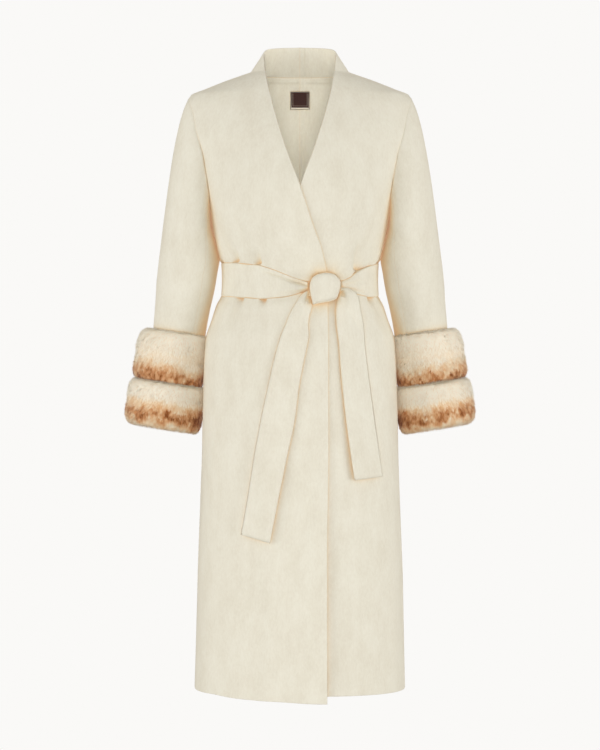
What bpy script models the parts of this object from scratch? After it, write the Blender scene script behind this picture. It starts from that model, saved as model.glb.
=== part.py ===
"""A long wrap coat in double-faced wool, worn by nobody, with two bands of fur on each sleeve.

Metres, +Z up. The front of the coat faces -Y and the wearer's right hand is at -X. The origin is
where the shoulders of the wearer hold the coat: level with the two neck points, in the middle.

The coat is drawn as one closed skin. A place on it is an angle round the body, in degrees from the
centre front and growing towards the wearer's left, and a height. The pieces of cloth are cut out of
that skin along the seams, and each is given its wall to the inside.
"""

import math

import bpy
import numpy as np

# Cloth and seams
CLOTH = 0.0022
SEAM_GAP = 0.0003
LAYER_GAP = 0.0012
BELT_CLOTH = 0.0042
LABEL_CLOTH = 0.0008

# Heights over the body
HEM = -1.105
BELT_LEVEL = -0.3717
UNDERARM = -0.262
SHOULDER_TIP = -0.041
COLLAR_RISE = 0.05

# Sections of the coat's outside. Above the underarm the sides are the form under the sleeve head.
BODY = {
    "height": (-1.105, -0.900, -0.690, -0.560, -0.482, -0.445, -0.416, -0.4085, -0.4030, -0.3717,
               -0.3405, -0.3345, -0.300, -0.262, -0.235, -0.200, -0.150, -0.100, -0.060, -0.041,
               -0.030, -0.015, 0.0),
    "half_width": (0.188, 0.183, 0.176, 0.1735, 0.170, 0.159, 0.1482, 0.1428, 0.1372, 0.1360,
                   0.1372, 0.1442, 0.153, 0.160, 0.166, 0.176, 0.191, 0.205, 0.206, 0.196,
                   0.170, 0.132, 0.089),
    "front": (0.131, 0.126, 0.121, 0.118, 0.112, 0.105, 0.0968, 0.0926, 0.0876, 0.0860,
              0.0876, 0.0960, 0.113, 0.123, 0.122, 0.118, 0.106, 0.089, 0.072, 0.063,
              0.058, 0.050, 0.042),
    "back": (0.137, 0.130, 0.124, 0.119, 0.104, 0.093, 0.0840, 0.0795, 0.0740, 0.0725,
             0.0740, 0.0800, 0.090, 0.098, 0.102, 0.105, 0.105, 0.099, 0.091, 0.085,
             0.081, 0.075, 0.068),
    "power": (2.5, 2.4, 2.35, 2.3, 2.25, 2.2, 2.2, 2.2, 2.2, 2.2,
              2.2, 2.2, 2.2, 2.2, 2.15, 2.1, 2.0, 2.0, 2.0, 2.0,
              2.0, 2.0, 2.0),
}
# How much lower the waist sits at the centre front than at the sides, and over what height
WAIST_DIP = 0.008
WAIST_REACH = 0.11

# Sideways place of the right front's edge, from the hem up the wrap and the V to the collar
FRONT_EDGE = {
    "height": (-1.105, -0.867, -0.675, -0.480, -0.4066, -0.372, -0.334, -0.273, -0.210, -0.1474,
               -0.1056, -0.0656, -0.0236, 0.0),
    "across": (0.0478, 0.0475, 0.0500, 0.0498, 0.0483, 0.0475, 0.0410, 0.0200, 0.0, -0.0228,
               -0.0360, -0.0470, -0.0570, -0.0615),
}
# The armhole: how far its front and back edges stand off the shoulder line
ARMHOLE = {
    "height": (-0.262, -0.255, -0.240, -0.218, -0.190, -0.158, -0.125, -0.095, -0.070, -0.052, -0.041),
    "front": (0.0, 0.017, 0.031, 0.041, 0.0455, 0.0455, 0.042, 0.0355, 0.027, 0.016, 0.0),
    "back": (0.0, 0.020, 0.038, 0.050, 0.056, 0.057, 0.053, 0.045, 0.033, 0.019, 0.0),
}
# The free top edge of the collar, from beside the throat round to the centre back
COLLAR_TOP = {
    "angle": (79.0, 90.0, 105.0, 125.0, 150.0, 180.0),
    "radius": (0.0665, 0.0650, 0.0630, 0.0600, 0.0570, 0.0555),
    "height": (0.0300, 0.0365, 0.0430, 0.0475, 0.0505, 0.0520),
}
# Soft folds that start at the belt. Depths are metres, and a trough's depth is negative.
FOLDS = {
    "belt_angle": (-62, -39, -50, 56, 67, 45, -108, -132, -157, 158, 133, 109,
                   -58, -35, -46, 68, 50, 30, -105, -128, -155, 156, 130, 106),
    "far_angle": (-68, -54, -60, 64, 73, 50, -112, -138, -164, 166, 139, 113,
                  -60, -36, -48, 70, 52, 27, -107, -130, -157, 158, 132, 108),
    "belt_height": (-0.337,) * 12 + (-0.406,) * 12,
    "far_height": (-0.19, -0.25, -0.26, -0.15, -0.22, -0.24, -0.20, -0.17, -0.22, -0.23, -0.16, -0.21,
                   -0.60, -0.56, -0.52, -0.62, -0.55, -0.50, -0.64, -0.55, -0.60, -0.58, -0.54, -0.63),
    "depth": (-0.0050, -0.0045, 0.0035, -0.0055, -0.0045, 0.0030, -0.0045, -0.0050, -0.0040, -0.0045,
              -0.0050, -0.0040, -0.0040, -0.0036, 0.0026, -0.0045, -0.0032, 0.0022, -0.0040, -0.0036,
              -0.0030, -0.0034, -0.0038, -0.0042),
    "width": (6.0, 5.5, 6.0, 6.5, 5.5, 6.0, 7.0, 7.0, 6.5, 6.5, 7.0, 7.0,
              6.5, 6.0, 6.5, 6.5, 6.5, 6.5, 7.5, 7.0, 7.0, 7.0, 7.0, 7.5),
}
FOLD_START = 0.010

# The right front stands off the left one from LIFT_REACH outside the hidden edge, and near the hem it
# swings further out by HEM_FLARE and hangs lower by HEM_DROP
LIFT_REACH = 0.045
EDGE_REACH = 0.006
HEM_FLARE = 0.0070
HEM_DROP = 0.0105

# Rings of a sleeve below the bicep, for the side at -X: centre and half sizes
SLEEVE = {
    "height": (-0.660, -0.6337, -0.550, -0.4716, -0.4446, -0.416, -0.380, -0.344),
    "across": (-0.2488, -0.2446, -0.2312, -0.2192, -0.2158, -0.2118, -0.2066, -0.2016),
    "back": (0.0505, 0.0475, 0.038, 0.027, 0.022, 0.018, 0.013, 0.010),
    "half_width": (0.0460, 0.0462, 0.0470, 0.0480, 0.0488, 0.0504, 0.0531, 0.0540),
    "half_depth": (0.0500, 0.0501, 0.0505, 0.0510, 0.0515, 0.0525, 0.0540, 0.0550),
}
SLEEVE_ROWS = (-0.344, -0.380, -0.416, -0.4446, -0.4716, -0.550, -0.634)
# The sleeve head leaves the armhole at this slope, less steep over the shoulder than at the underarm,
# and settles into the line of the arm
HEAD_SLOPE = (52.0, 83.0)
HEAD_FULLNESS = (0.043, 0.36)
HEAD_SWELL = 0.28
ARM_LINE = (-0.13, 0.03, -1.0)
ARM_SHARE = 0.33
SLEEVE_COLUMNS = 20
FRONT_SEAM_COLUMN = 7
BACK_SEAM_COLUMN = 13

# Fur bands: lengths along the sleeve, from the top edge of the fur, and how far they stand off
FUR_TOP = -0.468
FUR_BANDS = {
    "name": ("upper", "lower"),
    "start": (0.0, 0.0926),
    "end": (0.092, 0.1766),
    "radius": (0.0663, 0.0718),
    "shift": (-0.0080, -0.0060),
    "against_body": (0.0030, 0.0008),
}
# A band's section: rings across it from lip to lip, how square its shoulders are, the share of its
# thickness that its lips keep, and how much less it stands off in front than at the side
FUR_SHARES = (-1.0, -0.97, -0.86, -0.62, -0.2, 0.25, 0.62, 0.86, 0.97, 1.0)
FUR_CORNER = 3.0
FUR_LIP = 0.12
FUR_FLATTER = 0.002
FUR_SEAT = 0.0005

# The sash where it goes round the waist, by the angle round the body. It runs from the knot round
# the wearer's left side and the back, and 360 degrees stand for the centre front again.
SASH = {
    "angle": (39.5, 49.0, 58.0, 68.0, 90.0, 180.0, 270.0, 300.0, 319.0, 331.0, 345.0, 359.0, 369.2),
    "top": (-0.3790, -0.3700, -0.3592, -0.3500, -0.3411, -0.3380, -0.3411, -0.3444, -0.3495, -0.3560,
            -0.3661, -0.3749, -0.3802),
    "bottom": (-0.3916, -0.3965, -0.4026, -0.4052, -0.4030, -0.4010, -0.4023, -0.4066, -0.4096,
               -0.4089, -0.4066, -0.4004, -0.3943),
    "swell": (0.0075, 0.0060, 0.0030, 0.0010, 0.0, 0.0, 0.0, 0.0, 0.0008, 0.0020, 0.0045, 0.0070, 0.0080),
}
SASH_SEAT = 0.0022
SASH_EDGE = 0.003

# The knot: its outline seen from the front, clockwise from the upper left, about its centre
KNOT_CENTRE = (0.0446, -0.3907)
KNOT = {
    "across": (-0.0268, -0.0192, -0.0009, 0.0166, 0.0258, 0.0276, 0.0236, 0.0166, -0.0061, -0.0210,
               -0.0243, -0.0268),
    "up": (0.0114, 0.0210, 0.0270, 0.0245, 0.0140, 0.0026, -0.0079, -0.0166, -0.0219, -0.0264,
           -0.0166, -0.0026),
}
KNOT_BACK = -0.0930
KNOT_LEAN = 0.20
# Rings through the knot from back to front: how large the outline is and how far forward it lies
KNOT_RINGS = {
    "size": (0.70, 0.93, 1.0, 0.97, 0.84, 0.55),
    "forward": (0.0, 0.0025, 0.0115, 0.0215, 0.0290, 0.0335),
}

# The hanging ends of the sash: where the two long edges are, seen from the front
LONG_END = {
    "left": (0.0030, -0.0012, -0.0100, -0.0200, -0.0323, -0.0463, -0.0568, -0.0690, -0.0813, -0.0918,
             -0.1035),
    "left_height": (-0.4020, -0.4090, -0.4220, -0.4387, -0.4702, -0.5191, -0.5663, -0.6223, -0.6887,
                    -0.7569, -0.8233),
    "right": (0.0162, 0.0178, 0.0185, 0.0149, 0.0157, 0.0070, -0.0017, -0.0087, -0.0227, -0.0367,
              -0.0524),
    "right_height": (-0.3980, -0.4075, -0.4212, -0.4387, -0.4702, -0.5191, -0.5663, -0.6223, -0.6887,
                     -0.7569, -0.8373),
    "swell": (0.0050, 0.0055, 0.0050, 0.0040, 0.0020, 0.0006, 0.0, 0.0, 0.0, 0.0, 0.0),
    "hang": 0.0965,
}
SHORT_END = {
    "left": (0.0732, 0.0700, 0.0665, 0.0642, 0.0676, 0.0711, 0.0780, 0.0850, 0.0953),
    "left_height": (-0.3960, -0.4075, -0.4190, -0.4422, -0.4807, -0.5331, -0.6013, -0.6572, -0.7280),
    "right": (0.0830, 0.0955, 0.1035, 0.1094, 0.1150, 0.1198, 0.1290, 0.1369, 0.1460),
    "right_height": (-0.3925, -0.4035, -0.4142, -0.4422, -0.4807, -0.5331, -0.6013, -0.6572, -0.7228),
    "swell": (0.0040, 0.0055, 0.0060, 0.0045, 0.0020, 0.0006, 0.0, 0.0, 0.0),
    "hang": 0.0905,
}
END_GAP = 0.0012
END_KICK = 0.0050

# The woven label inside the back: heights, and half its width as an angle
LABEL_TOP = -0.0235
LABEL_BOTTOM = -0.0545
LABEL_HALF_ANGLE = 11.6

# Rows and columns of the cut pieces
SKIRT_ROWS = (-1.105, -1.020, -0.920, -0.820, -0.720, -0.635, -0.565, -0.515, -0.478, -0.448, -0.427,
              -0.4135, -0.4030)
BODICE_ROWS = (-0.3717, -0.3525, -0.3405, -0.3315, -0.316, -0.298, -0.280)
SHOULDER_ROWS = (-0.030, -0.018, -0.008, 0.0)
FRONT_COLUMNS = 15
BACK_COLUMNS = 9
COLLAR_COLUMNS = 6
COLLAR_ROWS = (0.36, 0.72, 1.0)
SASH_STATIONS = 38
SLEEVE_HEAD_ROWS = 6

MATERIALS = {
    "cream_wool": ((0.80, 0.74, 0.62), 0.95),
    "fur": ((0.72, 0.52, 0.34), 1.0),
    "label_satin": ((0.06, 0.025, 0.02), 0.55),
}


def smooth(xs, ys, x):
    """The value at x of a smooth curve through the points (xs, ys) that never overshoots them."""
    xs = np.asarray(xs, float)
    ys = np.asarray(ys, float)
    steps = np.diff(xs)
    rises = np.diff(ys) / steps
    slopes = np.concatenate([rises[:1], np.zeros(len(xs) - 2), rises[-1:]])
    same_way = rises[:-1] * rises[1:] > 0
    inner = slopes[1:-1]
    inner[same_way] = (2 * rises[:-1] * rises[1:])[same_way] / (rises[:-1] + rises[1:])[same_way]
    x = np.clip(np.asarray(x, float), xs[0], xs[-1])
    i = np.clip(np.searchsorted(xs, x, side="right") - 1, 0, len(xs) - 2)
    t = (x - xs[i]) / steps[i]
    start = ys[i] * (1 + 2 * t) * (1 - t) ** 2 + slopes[i] * steps[i] * t * (1 - t) ** 2
    end = ys[i + 1] * t**2 * (3 - 2 * t) + slopes[i + 1] * steps[i] * t**2 * (t - 1)
    return start + end


def column(table, name, x, by="height"):
    return smooth(table[by], table[name], x)


def ease(x, low, high):
    """0 below low, 1 above high, and a soft S between."""
    t = np.clip((x - low) / (high - low), 0.0, 1.0)
    return t * t * (3 - 2 * t)


def section_depth(across, half_width, depth, power):
    """How far a section's outline stands from the middle at a place across it."""
    share = np.clip(1 - (np.abs(across) / half_width) ** power, 0.0, 1.0)
    return depth * share ** (1 / power)


def waist_height(angle, height):
    """The height to read in the section table, which lets the waist dip towards the front."""
    near = np.exp(-(((height - BELT_LEVEL) / WAIST_REACH) ** 2))
    return height + WAIST_DIP * np.clip(np.cos(np.radians(angle)), 0.0, 1.0) * near


def folds_at(angle, height):
    """How far the soft folds at the waist move the skin out."""
    moved = np.zeros(np.broadcast(angle, height).shape)
    for belt_angle, far_angle, start, end, depth, width in zip(*FOLDS.values()):
        along = (height - start) / (end - start)
        here = belt_angle + (far_angle - belt_angle) * np.clip(along, 0.0, 1.0)
        from_belt = (height - start) * np.sign(end - start)
        strength = ease(from_belt, 0.0, FOLD_START) * np.clip(1 - along, 0.0, 1.0) ** 1.3
        turn = (angle - here + 180.0) % 360.0 - 180.0
        moved = moved + depth * strength * np.exp(-((turn / width) ** 2))
    return moved


def under_edge(height):
    """Sideways place of the left front's edge, which lies hidden under the right front."""
    return -column(FRONT_EDGE, "across", height)


def overlap_lift(across, height):
    """How far the right front stands off the skin, so that the left front lies under it."""
    edge = under_edge(height)
    covered = ease(across, edge - LIFT_REACH, edge - EDGE_REACH)
    flare = HEM_FLARE * ease(-height, 0.55, 1.10) * ease(across, -0.06, 0.05)
    return covered * (CLOTH + LAYER_GAP) + flare


def body_point(angle, height, over=False):
    """Points on the outside of the coat below the collar."""
    read = waist_height(angle, height)
    half_width, front, back, power = (
        column(BODY, name, read) for name in ("half_width", "front", "back", "power")
    )
    sine = np.sin(np.radians(angle))
    cosine = np.cos(np.radians(angle))
    depth = np.where(cosine > 0, front, back)
    size = (np.abs(sine) / half_width) ** power + (np.abs(cosine) / depth) ** power
    radius = size ** (-1 / power) + folds_at(angle, height)
    if over:
        radius = radius + overlap_lift(radius * sine, height)
    return np.stack([radius * sine, -radius * cosine, height + 0.0 * radius], axis=-1)


def collar_point(angle, rise):
    """Points on the collar: rise is 0 at the neck and 1 at its free edge."""
    base = body_point(angle, 0.0)
    turn = np.abs(angle)
    # In front of the shoulder the free edge turns down into the V, and the columns crowd together
    throat = neck_edge_angle()
    top_turn = np.where(turn > 90, turn, 90 - (90 - turn) * (90 - COLLAR_TOP["angle"][0]) / (90 - throat))
    radius = column(COLLAR_TOP, "radius", top_turn, by="angle")
    height = column(COLLAR_TOP, "height", top_turn, by="angle")
    across = np.sign(angle) * radius * np.sin(np.radians(top_turn))
    top = np.stack([across, -radius * np.cos(np.radians(top_turn)), height], axis=-1)
    return base + (top - base) * rise


def skin(angle, height, over=False):
    """A point of the coat's outside. Heights over 0 are on the collar, up to COLLAR_RISE."""
    angle, height = np.broadcast_arrays(np.asarray(angle, float), np.asarray(height, float))
    below = body_point(angle, np.minimum(height, 0.0), over)
    rise = np.clip(height / COLLAR_RISE, 0.0, 1.0)[..., None]
    return np.where(rise > 0, collar_point(angle, rise), below)


def skin_normal(angle, height, over=False):
    """The outward direction of the skin, the same for two pieces that meet at a seam."""
    turn = 0.4
    step = 0.0025
    round_it = skin(angle + turn, height, over) - skin(angle - turn, height, over)
    low = np.maximum(height - step, HEM)
    high = np.minimum(height + step, COLLAR_RISE)
    up_it = skin(angle, high, over) - skin(angle, low, over)
    normal = np.cross(round_it, up_it)
    return normal / np.linalg.norm(normal, axis=-1, keepdims=True)


def angle_at(across, height):
    """The angle of the place on the front of the skin that is this far across."""
    read = waist_height(0.0, height)
    half_width, front, power = (column(BODY, name, read) for name in ("half_width", "front", "power"))
    return math.degrees(math.atan2(across, section_depth(across, half_width, front, power)))


def neck_edge_angle():
    """How far round from the centre front the free edge is at the height of the neck points."""
    return abs(angle_at(FRONT_EDGE["across"][-1], 0.0))


def armhole_angle(side, height):
    """The angle, without its sign, of the armhole's front or back edge."""
    if height <= UNDERARM or height >= SHOULDER_TIP:
        return 90.0
    away = column(ARMHOLE, side, height)
    half_width, depth, power = (column(BODY, name, height) for name in ("half_width", side, "power"))
    across = section_depth(away, depth, half_width, power)
    turn = math.degrees(math.atan2(across, away))
    return turn if side == "front" else 180.0 - turn


def new_material(name):
    colour, roughness = MATERIALS[name]
    made = bpy.data.materials.new(name)
    made.use_nodes = True
    shader = made.node_tree.nodes["Principled BSDF"]
    shader.inputs["Base Color"].default_value = (*colour, 1.0)
    shader.inputs["Roughness"].default_value = roughness
    return made


def add_object(name, points, faces, material):
    mesh = bpy.data.meshes.new(name)
    mesh.from_pydata([tuple(map(float, p)) for p in points], [], faces)
    mesh.materials.append(material)
    mesh.shade_smooth()
    mesh.set_sharp_from_angle(angle=math.radians(50))
    made = bpy.data.objects.new(name, mesh)
    bpy.context.scene.collection.objects.link(made)
    return made


def mirrored(points):
    return np.asarray(points) * (-1, 1, 1)


def grid_cells(present):
    """The four corners of each cell of a grid whose corners are all present, as flat numbers."""
    rows, columns = present.shape
    number = np.arange(rows * columns).reshape(rows, columns)
    cells = []
    for i in range(rows - 1):
        for j in range(columns - 1):
            if present[i : i + 2, j : j + 2].all():
                cells.append((number[i, j], number[i, j + 1], number[i + 1, j + 1], number[i + 1, j]))
    return cells


def add_wall(name, outside, inside, material, flip=False):
    """A piece of cloth between two grids of points, closed with a rim along its cut edges."""
    present = np.isfinite(outside).all(axis=-1)
    cells = grid_cells(present)
    used = sorted({corner for cell in cells for corner in cell})
    place = {corner: k for k, corner in enumerate(used)}
    count = len(used)
    flat = outside.reshape(-1, 3)
    outer = []
    for a, b, c, d in cells:
        # Both faces of the cloth are split along the same diagonal, the shorter one
        if np.linalg.norm(flat[a] - flat[c]) <= np.linalg.norm(flat[b] - flat[d]):
            halves = ((a, b, c), (a, c, d))
        else:
            halves = ((a, b, d), (b, c, d))
        outer += [tuple(place[corner] for corner in half) for half in halves]
    faces = outer + [tuple(corner + count for corner in reversed(half)) for half in outer]
    edges = {(half[k], half[(k + 1) % 3]) for half in outer for k in range(3)}
    for a, b in sorted(edges):
        if (b, a) not in edges:
            faces.append((b, a, a + count, b + count))
    if flip:
        faces = [tuple(reversed(face)) for face in faces]
    points = np.concatenate([outside.reshape(-1, 3)[used], inside.reshape(-1, 3)[used]])
    return add_object(name, points, faces, material)


def move_towards(points, others, distance):
    """Points moved this far along the straight way to others."""
    way = others - points
    return points + way * (distance / np.linalg.norm(way, axis=-1, keepdims=True))


def draw_in(grid):
    """Half the seam gap is taken off the first and last column of a grid."""
    drawn = grid.copy()
    drawn[:, 0] = move_towards(grid[:, 0], grid[:, 1], SEAM_GAP / 2)
    drawn[:, -1] = move_towards(grid[:, -1], grid[:, -2], SEAM_GAP / 2)
    return drawn


def front_rows():
    return np.array(SKIRT_ROWS + BODICE_ROWS + ARMHOLE["height"] + SHOULDER_ROWS)


def hem_drop(across):
    """The right front hangs a little lower towards its free corner."""
    return HEM_DROP * ease(across, -0.10, 0.05)


def front_grids(side, over):
    """Outside and inside points of a front with its half of the collar. side is -1 at -X."""
    rows = front_rows()
    angles = np.full((len(rows) + len(COLLAR_ROWS), COLLAR_COLUMNS + FRONT_COLUMNS + 1), np.nan)
    heights = np.concatenate([rows, COLLAR_RISE * np.array(COLLAR_ROWS)])
    for i, height in enumerate(heights):
        level = min(height, 0.0)
        outer = -armhole_angle("front", level)
        inner = angle_at(column(FRONT_EDGE, "across", level), level)
        gap = math.degrees(SEAM_GAP / 2 / np.linalg.norm(body_point(outer, level)[:2]))
        angles[i, COLLAR_COLUMNS:] = np.linspace(outer + gap, inner, FRONT_COLUMNS + 1)
        if height >= 0:
            back = np.linspace(-180, outer, COLLAR_COLUMNS + 1)[:-1]
            back[0] += gap * 1.5
            angles[i, :COLLAR_COLUMNS] = back
    heights = np.repeat(heights[:, None], angles.shape[1], axis=1)
    # The collar's back half starts at the neck seam, just over the top of the back
    heights[len(rows) - 1, :COLLAR_COLUMNS] = SEAM_GAP / 2
    turned = angles if side < 0 else -angles
    outside = skin(turned, heights, over)
    inside = outside - CLOTH * skin_normal(turned, heights, over)
    if over:
        for grid in (outside, inside):
            grid[0, :, 2] -= hem_drop(grid[0, :, 0])
    return outside, inside


def add_front(name, side, over, material):
    outside, inside = front_grids(side, over)
    add_wall(name, outside, inside, material, flip=side > 0)


def add_back(name, side, material):
    """Half of the back, from the side seam and the armhole to the centre seam."""
    rows = front_rows()
    angles = np.empty((len(rows), BACK_COLUMNS + 1))
    for i, height in enumerate(rows):
        outer = armhole_angle("back", height)
        reach = np.linalg.norm(body_point(outer, height)[:2])
        gap = math.degrees(SEAM_GAP / 2 / reach)
        angles[i] = np.linspace(outer + gap, 180 - gap, BACK_COLUMNS + 1)
    heights = np.repeat(rows[:, None], BACK_COLUMNS + 1, axis=1)
    heights[-1] = -SEAM_GAP / 2
    turned = side * angles
    outside = skin(turned, heights)
    inside = outside - CLOTH * skin_normal(turned, heights)
    add_wall(name, outside, inside, material, flip=side < 0)


def sleeve_frame(height):
    """The centre, the sideways direction and the half sizes of a sleeve ring."""
    across, back, half_width, half_depth = (
        column(SLEEVE, name, height) for name in ("across", "back", "half_width", "half_depth")
    )
    step = 0.004
    slope = (column(SLEEVE, "across", height + step) - column(SLEEVE, "across", height - step)) / (2 * step)
    lean = math.atan(float(slope))
    sideways = np.array([-math.cos(lean), 0.0, math.sin(lean)])
    return np.array([across, back, height]), sideways, half_width, half_depth


def sleeve_ring(height, grow=0.0):
    """Points round a sleeve: the first is outermost, and they turn to the front first."""
    centre, sideways, half_width, half_depth = sleeve_frame(height)
    turn = np.linspace(0, 2 * np.pi, SLEEVE_COLUMNS + 1)
    out = np.cos(turn)[:, None] * (half_width + grow) * sideways
    ahead = np.sin(turn)[:, None] * (half_depth + grow) * np.array([0.0, -1.0, 0.0])
    return centre + out + ahead


def armhole_loop():
    """The armhole at -X, from the shoulder tip down the front and up the back, and its directions."""
    heights = ARMHOLE["height"]
    angles = [armhole_angle("front", z) for z in reversed(heights)]
    angles += [armhole_angle("back", z) for z in heights[1:]]
    angles = -np.array(angles)
    heights = np.array([*reversed(heights), *heights[1:]])
    return skin(angles, heights) - (SEAM_GAP, 0, 0), skin_normal(angles, heights)


def sleeve_head():
    """Rows from the armhole to the bicep. Each column leaves the armhole outwards and bends down."""
    start, _ = armhole_loop()
    end = sleeve_ring(SLEEVE_ROWS[0])
    turn = np.linspace(0, 2 * np.pi, SLEEVE_COLUMNS + 1)
    under = (1 - np.cos(turn)) / 2
    drop = np.radians(HEAD_SLOPE[0] + (HEAD_SLOPE[1] - HEAD_SLOPE[0]) * under**0.8)
    away = np.stack([-np.cos(drop), -HEAD_SWELL * np.sin(turn) * (1 - under), -np.sin(drop)], axis=-1)
    length = np.linalg.norm(end - start, axis=-1)
    first = start + away * (HEAD_FULLNESS[0] * (1 - under) + HEAD_FULLNESS[1] * length * under)[:, None]
    last = end - np.array(ARM_LINE) * (ARM_SHARE * length)[:, None]
    rows = []
    for t in np.linspace(0, 1, SLEEVE_HEAD_ROWS + 1):
        rows.append(
            start * (1 - t) ** 3 + first * 3 * t * (1 - t) ** 2 + last * 3 * t**2 * (1 - t) + end * t**3
        )
    return rows


def sleeve_grid():
    """The whole sleeve at -X, from the armhole down to its hem inside the fur."""
    return np.array(sleeve_head() + [sleeve_ring(z) for z in SLEEVE_ROWS[1:]])


def grid_normals(grid):
    """Outward directions of a tube whose first and last columns are the same line."""
    open_grid = grid[:, :-1]
    round_it = np.roll(open_grid, -1, axis=1) - np.roll(open_grid, 1, axis=1)
    down_it = np.gradient(open_grid, axis=0)
    normal = np.cross(down_it, round_it)
    normal = normal / np.linalg.norm(normal, axis=-1, keepdims=True)
    return np.concatenate([normal, normal[:, :1]], axis=1)


def add_sleeve(side_name, side, material):
    """A sleeve in two pieces, the upper one outside the two long seams and the under one within."""
    outside = sleeve_grid()
    normals = grid_normals(outside)
    # At the shoulder the cut edge of the sleeve is square to the body's cloth, not to its own
    _, body_normals = armhole_loop()
    own = ease(1 - np.cos(np.linspace(0, 2 * np.pi, SLEEVE_COLUMNS + 1)), 0.9, 1.5)[:, None]
    first = normals[0] * own + body_normals * (1 - own)
    normals[0] = first / np.linalg.norm(first, axis=-1, keepdims=True)
    inside = outside - CLOTH * normals
    columns = {
        "upper": [*range(BACK_SEAM_COLUMN, SLEEVE_COLUMNS), *range(FRONT_SEAM_COLUMN + 1)],
        "under": range(FRONT_SEAM_COLUMN, BACK_SEAM_COLUMN + 1),
    }
    for piece, chosen in columns.items():
        walls = [draw_in(grid[:, list(chosen)]) for grid in (outside, inside)]
        if side > 0:
            walls = [mirrored(grid) for grid in walls]
        add_wall(f"sleeve_{piece}_{side_name}", *walls, material, flip=side < 0)


def height_along_sleeve(length):
    """The height of the sleeve's centre line at a length down from the top of the fur."""
    run = column(SLEEVE, "across", FUR_TOP) - column(SLEEVE, "across", SLEEVE_ROWS[-1])
    lean = math.atan(run / (FUR_TOP - SLEEVE_ROWS[-1]))
    return FUR_TOP - length * math.cos(lean)


def fur_band_rings(start, end, radius, shift, against_body):
    """Rings round the outside of a fur band, from its top lip to its bottom lip."""
    turn = np.linspace(0, 2 * np.pi, SLEEVE_COLUMNS + 1)
    middle = (start + end) / 2
    rings = []
    for share in FUR_SHARES:
        height = height_along_sleeve(middle + share * (end - start) / 2)
        centre, sideways, half_width, half_depth = sleeve_frame(height)
        fullness = (1 - abs(share) ** FUR_CORNER) ** (1 / FUR_CORNER)
        reach = radius - against_body * ease(-np.cos(turn), 0.0, 1.0)
        seat = half_width + FUR_SEAT
        thick = FUR_LIP + (1 - FUR_LIP) * fullness
        grown = seat + (reach - seat) * thick
        deep = seat + half_depth - half_width + (reach - seat - FUR_FLATTER) * thick
        ring = centre + np.cos(turn)[:, None] * grown[:, None] * sideways
        ring = ring + np.sin(turn)[:, None] * deep[:, None] * np.array([0.0, -1.0, 0.0])
        rings.append(ring + sideways * (-shift) * fullness)
    return rings


def add_fur_band(name, side, row, material):
    """A band of fur: a thick ring that sits round the sleeve."""
    start, end = FUR_BANDS["start"][row], FUR_BANDS["end"][row]
    shape = (FUR_BANDS["radius"][row], FUR_BANDS["shift"][row], FUR_BANDS["against_body"][row])
    rings = fur_band_rings(start, end, *shape)
    # The hole that the sleeve goes through, a hair wider than the sleeve
    for length in np.linspace(end, start, 5):
        rings.append(sleeve_ring(height_along_sleeve(length), FUR_SEAT))
    grid = np.array(rings)[:, :-1]
    if side > 0:
        grid = mirrored(grid)
    rows, columns = grid.shape[:2]
    faces = []
    for i in range(rows):
        for j in range(columns):
            near = (i * columns + j, i * columns + (j + 1) % columns)
            below = (i + 1) % rows
            faces.append((*near, below * columns + (j + 1) % columns, below * columns + j))
    if side < 0:
        faces = [tuple(reversed(face)) for face in faces]
    add_object(name, grid.reshape(-1, 3), faces, material)


def add_loft(name, rings, material, flip=False):
    """A closed solid through rings of as many points each, with flat ends."""
    rings = np.asarray(rings)
    count, size = rings.shape[:2]
    faces = []
    for i in range(count - 1):
        for j in range(size):
            k = (j + 1) % size
            faces.append((i * size + j, i * size + k, (i + 1) * size + k, (i + 1) * size + j))
    faces.append(tuple(reversed(range(size))))
    faces.append(tuple(range((count - 1) * size, count * size)))
    if flip:
        faces = [tuple(reversed(face)) for face in faces]
    add_object(name, rings.reshape(-1, 3), faces, material)


def strip_ring(inner_points, directions, thickness, swell):
    """Points round a cut through a flat strip of cloth: its inner face, then its outer face."""
    share = np.linspace(-1, 1, len(inner_points))
    full = thickness + swell * (1 - share**2)
    # The folded edges of the strip are rounded off
    full = full * np.where(np.abs(share) > 0.99, 0.55, 1.0)
    outer = inner_points + directions * full[:, None]
    return np.concatenate([inner_points, outer[::-1]])


def add_sash(material):
    """The sash round the waist, from one side of the knot round the back to the other."""
    stations = np.linspace(SASH["angle"][0], SASH["angle"][-1], SASH_STATIONS)
    rings = []
    for angle in stations:
        top = column(SASH, "top", angle, by="angle")
        bottom = column(SASH, "bottom", angle, by="angle")
        swell = column(SASH, "swell", angle, by="angle")
        heights = np.linspace(bottom, top, 5)
        turn = (angle + 180.0) % 360.0 - 180.0
        level = BELT_LEVEL - WAIST_DIP * max(0.0, math.cos(math.radians(turn)))
        over = -90 < turn < 20
        way = body_point(turn, level) * (1, 1, 0)
        way = way / np.linalg.norm(way)
        # The sash lies on the coat, and its edges give way where the coat swells above and below it
        inner = []
        for z in heights:
            near = body_point(turn, np.array([z - SASH_EDGE, z + SASH_EDGE, level]), over)
            reach = np.linalg.norm(near[:, :2], axis=1).max() + SASH_SEAT
            inner.append(way * reach + (0, 0, z))
        inner = np.array(inner)
        rings.append(strip_ring(inner, np.tile(way, (5, 1)), BELT_CLOTH, swell))
    add_loft("sash_waist", rings, material)


def closed_curve(points, count):
    """A smooth closed curve through points, as count points on it."""
    points = np.asarray(points)
    spots = np.linspace(0, len(points), count, endpoint=False)
    made = []
    for spot in spots:
        i = int(spot)
        t = spot - i
        a, b, c, d = (points[(i + k) % len(points)] for k in (-1, 0, 1, 2))
        made.append(0.5 * (2 * b + (c - a) * t + (2 * a - 5 * b + 4 * c - d) * t**2
                           + (3 * b - a - 3 * c + d) * t**3))
    return np.array(made)


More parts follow.
